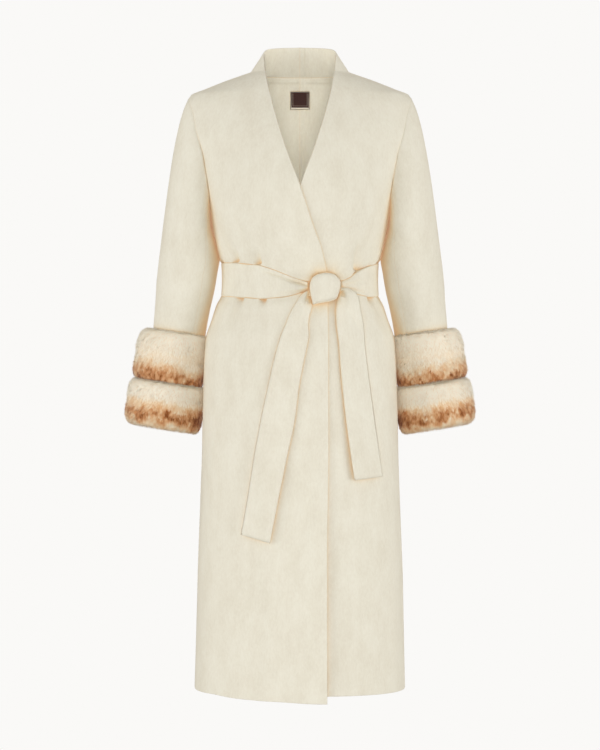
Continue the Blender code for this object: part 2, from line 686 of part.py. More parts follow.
def add_knot(material):
    """The knot, where the sash is tied: one rounded bundle, leaning out over the skirt below."""
    outline = closed_curve(list(zip(KNOT["across"], KNOT["up"])), 24)
    rings = []
    for size, forward in zip(KNOT_RINGS["size"], KNOT_RINGS["forward"]):
        across = KNOT_CENTRE[0] + outline[:, 0] * size
        up = outline[:, 1] * size
        lean = KNOT_LEAN * (1 - forward / KNOT_RINGS["forward"][-1])
        ahead = KNOT_BACK - forward + lean * up
        rings.append(np.stack([across, ahead, KNOT_CENTRE[1] + up], axis=-1))
    add_loft("sash_knot", rings, material, flip=True)


def front_depth(across, height):
    """How far the outermost cloth of the front stands forward at a place seen from the front."""
    angle = angle_at(across, height)
    over = across < column(FRONT_EDGE, "across", height) + EDGE_REACH
    return -float(body_point(angle, height, over)[1])


def add_sash_end(name, table, material):
    """A hanging end of the sash, in front of the skirt and close to it."""
    rings = []
    count = len(table["left"])
    for k in range(count):
        share = np.linspace(0, 1, 5)
        across = table["left"][k] + share * (table["right"][k] - table["left"][k])
        height = table["left_height"][k] + share * (table["right_height"][k] - table["left_height"][k])
        kick = END_KICK * ease(k, count - 4, count - 1)
        depth = [
            max(front_depth(x, z) + END_GAP + kick, table["hang"])
            for x, z in zip(across, height)
        ]
        inner = np.stack([across, -np.array(depth), height], axis=-1)
        rings.append(strip_ring(inner, np.array([[0, -1.0, 0]] * 5), BELT_CLOTH, table["swell"][k]))
    add_loft(name, rings, material)


def add_label(material):
    """The small label sewn over the centre seam inside the back, below the neck."""
    angles = 180 + np.linspace(-LABEL_HALF_ANGLE, LABEL_HALF_ANGLE, 5)
    heights = np.linspace(LABEL_BOTTOM, LABEL_TOP, 4)
    angles, heights = np.meshgrid(angles, heights)
    points = skin(angles, heights)
    normals = skin_normal(angles, heights)
    back = points - normals * (CLOTH + SEAM_GAP)
    add_wall("neck_label", back, back - normals * LABEL_CLOTH, material)


def clear_scene():
    for old in list(bpy.data.objects):
        bpy.data.objects.remove(old)


def build():
    clear_scene()
    wool, fur, satin = (new_material(name) for name in MATERIALS)
    add_front("front_right", -1, True, wool)
    add_front("front_left", 1, False, wool)
    for side_name, side in (("right", -1), ("left", 1)):
        add_back(f"back_{side_name}", side, wool)
        add_sleeve(side_name, side, wool)
        for row, band in enumerate(FUR_BANDS["name"]):
            add_fur_band(f"fur_{band}_{side_name}", side, row, fur)
    add_sash(wool)
    add_knot(wool)
    add_sash_end("sash_end_long", LONG_END, wool)
    add_sash_end("sash_end_short", SHORT_END, wool)
    add_label(satin)


build()
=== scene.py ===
# %% [markdown]
# # A cream wrap coat with fur cuffs
#
# This lesson dresses a long wrap coat of double-faced wool. Two rings of short fur sit on each
# sleeve, and a sash of the same cloth is tied at the waist. The coat keeps the shape of the person
# who wore it, but nobody is in it, so every piece is a thin wall that is seen from both sides.
#
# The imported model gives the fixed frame. Each piece made here lies where its solid lies, with finer
# folds, rounded edges and the real surface of the cloth.

import functools
import itertools
import math

import bpy
import numpy as np
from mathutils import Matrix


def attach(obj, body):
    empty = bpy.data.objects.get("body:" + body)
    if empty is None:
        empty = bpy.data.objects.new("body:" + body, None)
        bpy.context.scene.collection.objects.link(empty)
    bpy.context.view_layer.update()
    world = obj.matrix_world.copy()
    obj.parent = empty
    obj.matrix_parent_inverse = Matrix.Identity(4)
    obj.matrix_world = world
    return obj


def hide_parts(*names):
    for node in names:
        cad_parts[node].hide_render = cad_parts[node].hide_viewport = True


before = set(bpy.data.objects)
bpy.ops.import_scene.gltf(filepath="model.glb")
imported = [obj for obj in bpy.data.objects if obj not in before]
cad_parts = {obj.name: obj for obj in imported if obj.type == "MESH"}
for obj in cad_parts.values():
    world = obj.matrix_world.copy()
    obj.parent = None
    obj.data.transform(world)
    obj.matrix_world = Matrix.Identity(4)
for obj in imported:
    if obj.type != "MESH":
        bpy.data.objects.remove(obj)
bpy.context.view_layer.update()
print("pieces in the frame:", len(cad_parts))

# %% [markdown]
# ## The camera and the studio
#
# The coat was photographed from straight in front, at the height of its middle and from over four
# metres away, so its lines hardly converge. A long lens at that distance gives the same picture.
# The studio is one pale tone all round. A dome that only the camera sees gives that tone, and so
# the light on the cloth can be set by itself. A soft box just under the lens lights every place that
# the camera sees, so folds show by a warm shade painted into the wool where it is closed in, and
# not by hard shadows, and the shoulders are a little darker than the skirt. Two boxes at the sides
# keep the edges of the sleeves and the skirt bright, one behind does the same for the back, and an
# even glow comes from everywhere else. The inside of the neck gets lights of its own, as in a studio,
# where it is lit apart from the front.

# %% The camera
EYE_DISTANCE = 4.2
EYE_HEIGHT = -0.5436
FRAME_HEIGHT = 1.35
FILM = 36.0

scene = bpy.context.scene
lens = bpy.data.cameras.new("studio_camera")
lens.sensor_width = FILM
lens.lens = FILM * EYE_DISTANCE / FRAME_HEIGHT
eye = bpy.data.objects.new("studio_camera", lens)
eye.location = (0, -EYE_DISTANCE, EYE_HEIGHT)
eye.rotation_euler = (math.radians(90), 0, 0)
scene.collection.objects.link(eye)
scene.camera = eye
print("lens:", round(lens.lens, 1), "mm")


# %% Colours
def linear(code):
    """The linear colour of an sRGB hex code, with full alpha."""
    parts = [int(code[i : i + 2], 16) / 255 for i in (1, 3, 5)]
    return (*[c / 12.92 if c <= 0.04045 else ((c + 0.055) / 1.055) ** 2.4 for c in parts], 1.0)


STUDIO_TONE = "#FAF9F7"


# %% The studio
COAT_MIDDLE = (0, 0, -0.5)


def add_light(name, size, power, place, aim=COAT_MIDDLE):
    """A square soft box that looks at a point of the coat."""
    light = bpy.data.lights.new(name, "AREA")
    light.size = size
    light.energy = power
    box = bpy.data.objects.new(name, light)
    box.location = place
    way = np.array(aim) - np.array(place)
    box.rotation_euler = (
        math.acos(-way[2] / np.linalg.norm(way)), 0, math.atan2(way[1], way[0]) - math.pi / 2
    )
    scene.collection.objects.link(box)
    return box


scene.view_settings.view_transform = "Standard"
scene.world = bpy.data.worlds.new("studio_glow")
scene.world.use_nodes = True
glow = scene.world.node_tree.nodes["Background"]
glow.inputs["Color"].default_value = linear("#FFFCF6")
glow.inputs["Strength"].default_value = 0.425

add_light("lens_box", 1.1, 54, (0, -4.3, -0.85))
add_light("left_box", 2.4, 76, (-4.0, -1.9, -0.5))
add_light("right_box", 2.4, 76, (4.0, -1.9, -0.5))
add_light("back_box", 2.4, 76, (0.6, 4.3, 0.2))
neck_light = add_light("neck_box", 0.9, 58, (0, -4.3, -0.1), (0, 0, -0.1))
collar_light = add_light("collar_lamp", 0.08, 0.015, (0, -0.02, 0.03), (0, 0.07, 0.03))


def plain_tone(name, code):
    """A flat tone that needs no light."""
    made = bpy.data.materials.new(name)
    made.use_nodes = True
    tree = made.node_tree
    tree.nodes.clear()
    tone = tree.nodes.new("ShaderNodeEmission")
    tone.inputs["Color"].default_value = linear(code)
    end = tree.nodes.new("ShaderNodeOutputMaterial")
    tree.links.new(tone.outputs["Emission"], end.inputs["Surface"])
    return made


def seen_only_by_camera(thing):
    for ray in ("diffuse", "glossy", "transmission", "shadow"):
        setattr(thing, f"visible_{ray}", False)


FLOOR_HEIGHT = -1.32
bpy.ops.mesh.primitive_circle_add(
    vertices=96, radius=5.5, fill_type="NGON", location=(0, 0, FLOOR_HEIGHT)
)
floor = bpy.context.object
floor.name = "studio_floor"
bpy.ops.mesh.primitive_uv_sphere_add(segments=64, ring_count=32, radius=6.5, location=(0, 0, -0.5))
dome = bpy.context.object
dome.name = "studio_dome"
for backdrop in (floor, dome):
    backdrop.data.materials.append(plain_tone(backdrop.name, STUDIO_TONE))
    seen_only_by_camera(backdrop)
print("studio tone:", STUDIO_TONE)

# %% [markdown]
# ## Curves through a few measured places
#
# A pattern cutter works from a short list of measures. Every form here is a table of such measures
# and a smooth curve through them. The curve never overshoots a measure, so a waist stays where it
# was put.


# %% Curves
def smooth(xs, ys, x):
    """The value at x of a smooth curve through the points (xs, ys) that never overshoots them."""
    xs = np.asarray(xs, float)
    ys = np.asarray(ys, float)
    steps = np.diff(xs)
    rises = np.diff(ys) / steps
    slopes = np.concatenate([rises[:1], np.zeros(len(xs) - 2), rises[-1:]])
    same_way = rises[:-1] * rises[1:] > 0
    inner = slopes[1:-1]
    inner[same_way] = (2 * rises[:-1] * rises[1:])[same_way] / (rises[:-1] + rises[1:])[same_way]
    x = np.clip(np.asarray(x, float), xs[0], xs[-1])
    i = np.clip(np.searchsorted(xs, x, side="right") - 1, 0, len(xs) - 2)
    t = (x - xs[i]) / steps[i]
    start = ys[i] * (1 + 2 * t) * (1 - t) ** 2 + slopes[i] * steps[i] * t * (1 - t) ** 2
    end = ys[i + 1] * t**2 * (3 - 2 * t) + slopes[i + 1] * steps[i] * t**2 * (t - 1)
    return start + end


def column(table, name, x, by="height"):
    return smooth(table[by], table[name], x)


def columns(table, names, x, by="height"):
    return [column(table, name, x, by) for name in names.split()]


def ease(x, low, high):
    """0 below low, 1 above high, and a soft S between."""
    t = np.clip((x - low) / (high - low), 0.0, 1.0)
    return t * t * (3 - 2 * t)


def unit(vectors):
    return vectors / np.linalg.norm(vectors, axis=-1, keepdims=True)


# %% [markdown]
# Cloth and fur are never even. A cloud of soft random values, with its seed fixed, moves points and
# turns fibres a little differently from place to place. The size of the cloud is a real size, so
# one function makes both the slow waves of a skirt and the tufts of the fur.


# %% A cloud of soft random values
CLOUD_CELLS = 32
CLOUD_START = 500.0


@functools.cache
def cloud_table(seed):
    return np.random.default_rng(seed).uniform(-1, 1, (CLOUD_CELLS,) * 3)


def cloud(points, size, seed):
    """Smooth random values from -1 to 1 at points, that change over this size in metres."""
    table = cloud_table(seed)
    spots = np.asarray(points, float) / size + CLOUD_START
    low = np.floor(np.nan_to_num(spots)).astype(int)
    part = spots - low
    part = part * part * (3 - 2 * part)
    total = 0.0
    for step in itertools.product((0, 1), repeat=3):
        share = np.prod(np.where(step, part, 1 - part), axis=-1)
        total = total + share * table[tuple(np.moveaxis((low + step) % CLOUD_CELLS, -1, 0))]
    return total


# %% [markdown]
# ## Materials
#
# A node tree is easier to read when each node is made in one line, with its settings and its links
# together. That is what the helpers are for.


# %% The node helpers
def plug(tree, made, links=(), **values):
    """Sets the plain values of a node's inputs, and links the others to their sources."""
    for name, value in values.items():
        made.inputs[name.replace("_", " ")].default_value = value
    for name, source in dict(links).items():
        if isinstance(source, bpy.types.NodeSocket):
            tree.links.new(source, made.inputs[name])
        else:
            made.inputs[name].default_value = source


def node(tree, kind, settings=(), links=(), **values):
    """Adds a node with its settings, its links and its values."""
    made = tree.nodes.new(kind)
    for name, value in dict(settings).items():
        setattr(made, name, value)
    plug(tree, made, links, **values)
    return made


def tone_of(tree, value, stops):
    """The colour that a value picks from a row of stops."""
    made = node(tree, "ShaderNodeValToRGB", links={"Fac": value})
    row = made.color_ramp.elements
    for place, code in stops[1:-1]:
        row.new(place).color = linear(code)
    for end in (0, -1):
        row[end].position, row[end].color = stops[end][0], linear(stops[end][1])
    return made.outputs["Color"]


def mix(tree, share, first, second, blend="MIX"):
    """Two colours, mixed by a share."""
    settings = {"data_type": "RGBA", "blend_type": blend}
    return node(tree, "ShaderNodeMix", settings, {0: share, 6: first, 7: second}).outputs[2]


def new_material(name):
    made = bpy.data.materials.new(name)
    made.use_nodes = True
    return made, made.node_tree, made.node_tree.nodes["Principled BSDF"]


# %% [markdown]
# ### Double-faced wool
#
# Double-faced cloth is two light wool cloths woven as one, so a coat of it needs no lining and its
# inside is as fine as its outside. After weaving it is fulled and brushed. The nap hides the weave
# and catches light at the edges of the form, which is a soft sheen and no gloss. Brushing leaves
# the fibres lying unevenly in patches of a few centimetres, a shade lighter or darker, and short
# streaks run down the cloth. The single fibres are 0.02 mm thick and can't show, so the nap is
# drawn as tufts of 2 to 3 mm.

# %% Double-faced wool, with painted shade and glow in its creases
MM = 0.001
# Painted shade: where the cloth is closed in (creases, under the sash and knot, between the parts) its
# colour is made warmer and darker, over two ambient-occlusion reaches.
CREASE_SHADE_PAINT = {
    "reach": (0.032, 0.008),
    "stops": (
        [(0.0, "#F1D8B4"), (0.40, "#FBEEDD"), (0.80, "#FFFFFF")],
        [(0.0, "#F8E6CE"), (0.50, "#FEF9F2"), (0.80, "#FFFFFF")],
    ),
}
# Painted light: a warm glow given off by the wool in its deepest creases, in place of light bounced into
# them.
CREASE_GLOW_PAINT = [(0.0, "#C4AC8C"), (0.30, "#7A6A56"), (0.52, "#201C16"), (0.70, "#000000")]
TUFT_SHARE = 0.42


def wool_material(name, tones, streak=(1, 1, 0.45)):
    """Brushed wool, with shade and a warm glow painted into its creases. The tones go from its darker to its
    lighter patches.
    """
    made, tree, shader = new_material(name)
    place = node(tree, "ShaderNodeTexCoord").outputs["Object"]
    along = node(tree, "ShaderNodeMapping", links={"Vector": place, "Scale": streak}).outputs["Vector"]
    patch, tuft, nap = (
        node(
            tree, "ShaderNodeTexNoise", links={"Vector": along},
            Scale=1 / (size * MM), Detail=detail, Roughness=rough,
        ).outputs["Fac"]
        for size, detail, rough in ((26, 4.0, 0.62), (3.2, 3.0, 0.6), (2.4, 5.0, 0.7))
    )
    mixed = node(tree, "ShaderNodeMix", {"data_type": "FLOAT"}, {0: TUFT_SHARE, 2: patch, 3: tuft})
    tinted = tone_of(tree, mixed.outputs["Result"], list(zip((0.36, 0.50, 0.64), tones)))
    open_sky = [
        node(tree, "ShaderNodeAmbientOcclusion", {"samples": 6}, Distance=reach).outputs["AO"]
        for reach in CREASE_SHADE_PAINT["reach"]
    ]
    # The painted crease shade is multiplied into the wool's colour.
    for share, stops in zip(open_sky, CREASE_SHADE_PAINT["stops"]):
        tinted = mix(tree, 1.0, tinted, tone_of(tree, share, stops), "MULTIPLY")
    # The painted glow in the creases, by the wider ambient-occlusion reach, goes into the emission.
    painted_glow = tone_of(tree, open_sky[0], CREASE_GLOW_PAINT)
    relief = node(tree, "ShaderNodeBump", links={"Height": nap}, Strength=0.35, Distance=0.8 * MM)
    links = {"Base Color": tinted, "Emission Color": painted_glow, "Normal": relief.outputs["Normal"]}
    plug(
        tree, shader, links, Emission_Strength=0.26, Roughness=0.92, Specular_IOR_Level=0.18,
        Sheen_Weight=0.55, Sheen_Roughness=0.5, Sheen_Tint=linear("#FFF6E4"),
    )
    return made


cream_wool = wool_material("brushed_double_faced_wool", ("#E2DCCB", "#E7E2D2", "#EBE7D8"))
print("wool ready")

# %% [markdown]
# ## The form of the coat
#
# The coat is drawn as one closed skin. A place on it is an angle round the body, in degrees from
# the centre front towards the wearer's left, and a height. The sections are rounded rectangles
# rather than ellipses, because cloth hangs straight down from the widest places under it.

# %% Sections of the skin
CLOTH = 0.0022
SEAM_GAP = 0.00005
LAYER_GAP = 0.0012
HEM = -1.105
BELT_LEVEL = -0.3717
UNDERARM = -0.262
SHOULDER_TIP = -0.041
COLLAR_RISE = 0.05
BODY = {
    "height": (-1.105, -0.900, -0.690, -0.560, -0.482, -0.445, -0.416, -0.4085, -0.4045, -0.4025,
               -0.4023, -0.3717, -0.3412, -0.3410, -0.3390, -0.3345, -0.300, -0.262, -0.235, -0.200,
               -0.150, -0.100, -0.060, -0.041, -0.030, -0.015, 0.0),
    "half_width": (0.188, 0.183, 0.176, 0.1735, 0.170, 0.159, 0.1492, 0.1446, 0.1426, 0.1412,
                   0.1372, 0.1360, 0.1372, 0.1412, 0.1430, 0.1462, 0.153, 0.160, 0.166, 0.176,
                   0.191, 0.205, 0.206, 0.196, 0.170, 0.132, 0.089),
    "front": (0.131, 0.126, 0.121, 0.118, 0.112, 0.105, 0.0980, 0.0948, 0.0930, 0.0917,
              0.0876, 0.0860, 0.0876, 0.0917, 0.0932, 0.0966, 0.113, 0.123, 0.122, 0.118,
              0.106, 0.089, 0.072, 0.063, 0.058, 0.050, 0.042),
    "back": (0.137, 0.130, 0.124, 0.119, 0.104, 0.093, 0.0850, 0.0814, 0.0794, 0.0781,
             0.0740, 0.0725, 0.0740, 0.0781, 0.0794, 0.0820, 0.090, 0.098, 0.102, 0.105,
             0.105, 0.099, 0.091, 0.085, 0.081, 0.075, 0.068),
    "power": (2.5, 2.4, 2.35, 2.3, 2.25, 2.2, 2.2, 2.2, 2.2, 2.2,
              2.2, 2.2, 2.2, 2.2, 2.2, 2.2, 2.2, 2.2, 2.15, 2.1,
              2.0, 2.0, 2.0, 2.0, 2.0, 2.0, 2.0),
}

# %% [markdown]
# The table has the waist pressed in from its row at the sash's top edge to its row at the bottom
# edge. The real sash isn't level: it narrows and dips towards the knot. So the heights are stretched
# or squeezed round the waist, until the pressed part lies just where the sash and the knot are.

# %% Where the sash presses
PRESSED = {
    "angle": (0.0, 9.0, 14.0, 18.0, 30.0, 35.0, 40.0, 49.0, 58.0, 68.0, 90.0, 180.0, 270.0, 300.0,
              319.0, 331.0, 345.0, 352.0, 360.0),
    "top": (-0.3756, -0.3785, -0.3725, -0.3675, -0.3675, -0.3725, -0.3775, -0.3700, -0.3592, -0.3500,
            -0.3411, -0.3380, -0.3411, -0.3444, -0.3495, -0.3560, -0.3661, -0.3710, -0.3756),
    "bottom": (-0.3998, -0.4010, -0.4090, -0.4120, -0.4090, -0.4030, -0.3990, -0.3975, -0.4026, -0.4052,
               -0.4030, -0.4010, -0.4023, -0.4066, -0.4096, -0.4089, -0.4066, -0.4038, -0.3998),
}
PRESSED_TOP, PRESSED_BOTTOM = -0.3405, -0.4030
CALM_ABOVE, CALM_BELOW = -0.285, -0.470


def stretch(value, bottom, top, new_bottom, new_top):
    """Moves two heights to two others, and stretches what is between them and the calm cloth."""
    above = new_top + (value - top) * (CALM_ABOVE - new_top) / (CALM_ABOVE - top)
    below = new_bottom + (value - bottom) * (CALM_BELOW - new_bottom) / (CALM_BELOW - bottom)
    within = new_bottom + (value - bottom) / (top - bottom) * (new_top - new_bottom)
    moved = np.where(value > top, above, np.where(value < bottom, below, within))
    return np.where((value > CALM_ABOVE) | (value < CALM_BELOW), value, moved)


def sash_edges(angle):
    return columns(PRESSED, "bottom top", np.asarray(angle, float) % 360.0, by="angle")


def waist_height(angle, height):
    """The height to read in the section table, so that its waist lies under the sash."""
    return stretch(np.asarray(height, float), *sash_edges(angle), PRESSED_BOTTOM, PRESSED_TOP)


def waist_place(angle, read):
    """The height at which a row of the section table lies at this angle."""
    return stretch(np.asarray(read, float), PRESSED_BOTTOM, PRESSED_TOP, *sash_edges(angle))


# %% [markdown]
# ### Folds that the sash draws in
#
# The coat is wider than the waist, so the sash gathers it. Soft folds run from the sash up into the
# bodice and down into the skirt, widen and fade out. Each one is a column of a table, with its
# place at the sash and at its far end, how deep it is, and how wide. A trough has a negative depth,
# and it is deepest right at the sash's edge, where it leaves a small dark hollow.

# %% The folds
FOLDS_ABOVE = {
    "belt_angle": (-64, -43, -53, 58, 69, 47, -83, -108, -132, -157, 158, 133, 109, 84),
    "far_angle": (-76, -58, -66, 70, 79, 55, -90, -112, -138, -164, 166, 139, 113, 92),
    "far_height": (-0.21, -0.24, -0.27, -0.16, -0.24, -0.26, -0.28, -0.20, -0.17, -0.22, -0.23, -0.16,
                   -0.21, -0.27),
    "depth": (-0.0062, -0.0058, 0.0030, -0.0072, -0.0040, 0.0030, -0.0035, -0.0050, -0.0056, -0.0045,
              -0.0050, -0.0054, -0.0046, -0.0036),
    "width": (3.6, 3.4, 5.0, 5.2, 4.2, 5.0, 4.5, 5.0, 4.6, 5.2, 5.0, 4.6, 5.0, 4.6),
}
FOLDS_BELOW = {
    "belt_angle": (-60.5, -38.5, -49, 72, 61, -80, -105, -128, -155, 156, 130, 106, 84),
    "far_angle": (-63, -37, -50, 76, 62, -82, -107, -130, -157, 158, 132, 108, 85),
    "far_height": (-0.52, -0.50, -0.50, -0.56, -0.52, -0.50, -0.64, -0.55, -0.60, -0.58, -0.54, -0.63,
                   -0.50),
    "depth": (-0.0052, -0.0056, 0.0022, -0.0058, 0.0020, -0.0032, -0.0046, -0.0040, -0.0036, -0.0040,
              -0.0044, -0.0046, -0.0032),
    "width": (3.2, 3.4, 6.0, 3.6, 5.0, 4.6, 5.0, 4.6, 5.0, 5.0, 4.6, 5.2, 4.6),
}
FOLD_START = 0.0006
FOLD_WIDENING = 1.3
FOLD_FADE = 1.6


def folds_at(angle, height):
    """How far the soft folds at the waist move the skin out."""
    moved = np.zeros(np.broadcast(angle, height).shape)
    for table, edge, way in ((FOLDS_ABOVE, "top", 1), (FOLDS_BELOW, "bottom", -1)):
        for belt_angle, far_angle, end, depth, width in zip(*table.values()):
            start = column(PRESSED, edge, np.asarray(angle) % 360.0, by="angle") - MM * way
            along = np.clip((height - start) / (end - start), 0.0, 1.0)
            here = belt_angle + (far_angle - belt_angle) * along
            strength = ease((height - start) * way, 0.0, FOLD_START) * (1 - along) ** FOLD_FADE
            turn = (angle - here + 180.0) % 360.0 - 180.0
            wide = width * (1 + FOLD_WIDENING * along**0.5)
            moved = moved + depth * strength * np.exp(-((turn / wide) ** 2))
    return moved


# %% [markdown]
# Some creases are easier to place as they are seen from the front, from one point across and up to
# another, than by angle. One function makes them for the skirt, the sash, its ends and the sleeves.
# A bow bends the line, and each end fades over its own share of the length.


# %% Creases between two places
def creases_at(across, height, table):
    """How far the creases of a table move cloth out at places seen from the front."""
    moved = np.zeros(np.broadcast(across, height).shape)
    for x0, z0, x1, z1, bow, depth, width, fade_in, fade_out in zip(*table.values()):
        run, rise = x1 - x0, z1 - z0
        length = math.hypot(run, rise)
        along = ((across - x0) * run + (height - z0) * rise) / length**2
        off = ((across - x0) * rise - (height - z0) * run) / length
        inside = np.clip(along, 0.0, 1.0)
        off = off - bow * 4 * inside * (1 - inside)
        strength = ease(along, 0.0, fade_in) * (1 - ease(along, 1 - fade_out, 1.0))
        moved = moved + depth * strength * np.exp(-((off / width) ** 2))
    return moved


BODY_CREASES = {
    "x0": (0.040, -0.010, 0.162, -0.120, -0.060, 0.085, -0.1125, -0.0712, 0.1020, -0.1055, -0.0630, 0.1252),
    "z0": (-0.700, -0.820, -0.880, -0.520, -0.900, -0.560, -0.3435, -0.3480, -0.3590, -0.4030, -0.4065,
           -0.4015),
    "x1": (-0.022, -0.030, 0.150, -0.140, -0.075, 0.110, -0.1200, -0.0805, 0.1110, -0.1060, -0.0625, 0.1275),
    "z1": (-0.860, -1.000, -1.100, -0.760, -1.090, -0.800, -0.3140, -0.3150, -0.2950, -0.4290, -0.4260,
           -0.4300),
    "bow": (0.004, 0.0, 0.0, 0.004, 0.0, -0.003, 0.0, 0.0, 0.0, 0.0, 0.0, 0.0),
    "depth": (-0.0022, -0.0016, -0.0020, -0.0014, -0.0014, -0.0014, -0.0080, -0.0088, -0.0078, -0.0074,
              -0.0080, -0.0064),
    "width": (0.011, 0.012, 0.010, 0.014, 0.012, 0.014, 0.0040, 0.0040, 0.0075, 0.0042, 0.0046, 0.0042),
    "fade_in": (0.4, 0.4, 0.5, 0.5, 0.5, 0.5, 0.02, 0.02, 0.02, 0.02, 0.02, 0.02),
    "fade_out": (0.4, 0.5, 0.2, 0.5, 0.2, 0.5, 0.9, 0.9, 0.7, 0.9, 0.9, 0.9),
}


# %% [markdown]
# Away from the sash the cloth is calm, but it isn't a turned shape: it hangs in slow vertical waves
# a hand's breadth wide and two or three millimetres deep, which grow towards the hem and die away
# where the sash presses.

# %% Slow waves of the hanging cloth
WAVE_GIRTH = 0.16
WAVE_WIDTH = 0.075
WAVE_LENGTH = 0.42
WAVE_DEPTH = 0.0016
BODICE_SHARE = 0.55
SKIRT_WAVES = (0.44, 0.95)
BODICE_WAVES = (-0.33, -0.24)
CALM_SHOULDERS = (0.02, 0.12)
CALM_WAIST = 0.045
DIMPLE_SIZE = 0.03
DIMPLE_DEPTH = 0.0003
DIMPLE_STRETCH = 0.6


def waves_at(angle, height, over):
    """How far the slow waves of the cloth move the skin out."""
    angle, height = np.broadcast_arrays(np.asarray(angle, float), np.asarray(height, float))
    turn = np.radians(angle)
    slow, small = (
        np.stack([WAVE_GIRTH * np.sin(turn), WAVE_GIRTH * np.cos(turn), height * squeeze], -1)
        for squeeze in (WAVE_WIDTH / WAVE_LENGTH, DIMPLE_STRETCH)
    )
    skirt = ease(-height, *SKIRT_WAVES)
    bodice = ease(height, *BODICE_WAVES) * ease(-height, *CALM_SHOULDERS)
    depth = WAVE_DEPTH * (skirt + BODICE_SHARE * bodice)
    calm = 1 - np.exp(-(((height - BELT_LEVEL) / CALM_WAIST) ** 4))
    dimples = DIMPLE_DEPTH * cloud(small, DIMPLE_SIZE, 21 + over) * calm
    return depth * cloud(slow, WAVE_WIDTH, 11 + over) + dimples


# %% [markdown]
# ### The wrap
#
# The right front lies over the left one. Its edge comes down from the collar in a V, crosses the
# middle just above the waist and hangs straight to the hem. The over layer stands off by its own
# thickness, and a little more near the hem, where its free corner swings out and hangs lower.

# %% The front edge and the lift of the over layer
FRONT_EDGE = {
    "height": (-1.105, -0.867, -0.675, -0.480, -0.4066, -0.372, -0.334, -0.273, -0.210, -0.1474,
               -0.1056, -0.0656, -0.0236, 0.0),
    "across": (0.0478, 0.0475, 0.0500, 0.0498, 0.0483, 0.0475, 0.0410, 0.0200, 0.0, -0.0228,
               -0.0360, -0.0470, -0.0570, -0.0615),
}
LIFT_REACH = 0.045
EDGE_REACH = 0.006
HEM_FLARE = 0.0070
FLARE_DOWN = (0.55, 1.10)
FLARE_ACROSS = (-0.06, 0.05)
DROP_BELOW = 0.9
HEM_DROP = {
    "across": (-0.188, -0.153, -0.137, -0.118, -0.097, -0.065, -0.037, 0.019, 0.0475),
    "drop": (0.0, 0.0008, 0.0026, 0.0048, 0.0062, 0.0078, 0.0088, 0.0118, 0.0124),
}


def overlap_lift(across, height):
    """How far the right front stands off the skin, so that the left front lies under it."""
    edge = -column(FRONT_EDGE, "across", height)
    covered = ease(across, edge - LIFT_REACH, edge - EDGE_REACH)
    flare = HEM_FLARE * ease(-height, *FLARE_DOWN) * ease(across, *FLARE_ACROSS)
    return covered * (CLOTH + LAYER_GAP) + flare


def hem_drop(across):
    """The right front hangs a little lower towards its free corner."""
    return column(HEM_DROP, "drop", across, by="across")


def body_point(angle, height, over=False, plain=False):
    """Points on the outside of the coat below the collar."""
    half_width, front, back, power = columns(
        BODY, "half_width front back power", waist_height(angle, height)
    )
    sine = np.sin(np.radians(angle))
    cosine = np.cos(np.radians(angle))
    depth = np.where(cosine > 0, front, back)
    size = (np.abs(sine) / half_width) ** power + (np.abs(cosine) / depth) ** power
    radius = size ** (-1 / power) + folds_at(angle, height)
    if not plain:
        radius = radius + waves_at(angle, height, over)
        radius = radius + creases_at(radius * sine, height, BODY_CREASES) * (cosine > 0)
    if over:
        radius = radius + overlap_lift(radius * sine, height)
    return np.stack([radius * sine, -radius * cosine, height + 0.0 * radius], axis=-1)


# %% [markdown]
# ### The collar
#
# The stand collar grows out of the fronts with no seam between them, and its two halves meet in one
# seam at the centre back. It stands five centimetres high there and leans in towards the neck.

# %% The collar and the whole skin
COLLAR_TOP = {
    "angle": (79.0, 90.0, 105.0, 125.0, 150.0, 180.0),
    "radius": (0.0665, 0.0650, 0.0630, 0.0600, 0.0570, 0.0555),
    "height": (0.0304, 0.0372, 0.0442, 0.0490, 0.0521, 0.0536),
}


CHEST_DEPTH = 0.09


def angle_at(across, height, over=False):
    """The angle of the place on the front of the skin that is this far across."""
    angle = math.degrees(math.atan2(across, CHEST_DEPTH))
    for _ in range(8):
        point = body_point(angle, height, over)
        angle += math.degrees(across - point[0]) / math.hypot(point[0], point[1])
    return angle


THROAT = abs(angle_at(FRONT_EDGE["across"][-1], 0.0))


def collar_point(angle, rise):
    """Points on the collar: rise is 0 at the neck and 1 at its free edge."""
    base = body_point(angle, 0.0)
    turn = np.abs(angle)
    ahead = (90 - turn) * (90 - COLLAR_TOP["angle"][0]) / (90 - THROAT)
    top_turn = np.where(turn > 90, turn, 90 - ahead)
    radius, height = columns(COLLAR_TOP, "radius height", top_turn, by="angle")
    across = np.sign(angle) * radius * np.sin(np.radians(top_turn))
    top = np.stack([across, -radius * np.cos(np.radians(top_turn)), height], axis=-1)
    return base + (top - base) * rise


def skin(angle, height, over=False):
    """A point of the coat's outside. Heights over 0 are on the collar, up to COLLAR_RISE."""
    angle, height = np.broadcast_arrays(np.asarray(angle, float), np.asarray(height, float))
    below = body_point(angle, np.minimum(height, 0.0), over)
    rise = np.clip(height / COLLAR_RISE, 0.0, 1.0)[..., None]
    return np.where(rise > 0, collar_point(angle, rise), below)


def skin_normal(angle, height, over=False, turn=0.4, step=0.0025):
    """The outward direction of the skin, the same for two pieces that meet at a seam."""
    round_it = skin(angle + turn, height, over) - skin(angle - turn, height, over)
    low = np.maximum(height - step, HEM)
    high = np.minimum(height + step, COLLAR_RISE)
    up_it = skin(angle, high, over) - skin(angle, low, over)
    return unit(np.cross(round_it, up_it))


print("waist:", round(float(2 * body_point(90.0, BELT_LEVEL)[0]), 3), "m across")

# %% [markdown]
# ## Cutting the pieces
#
# Each piece of cloth is a grid of points on the skin, given a wall to the inside and a rounded rim
# all round. The rim matters: a cut sheet with sharp edges looks like card. Where two pieces meet
# along a seam they are shaded by the skin's own direction there, so that the light runs on over the
# seam, and only its fine groove and the two soft ridges of the turned cloth show.


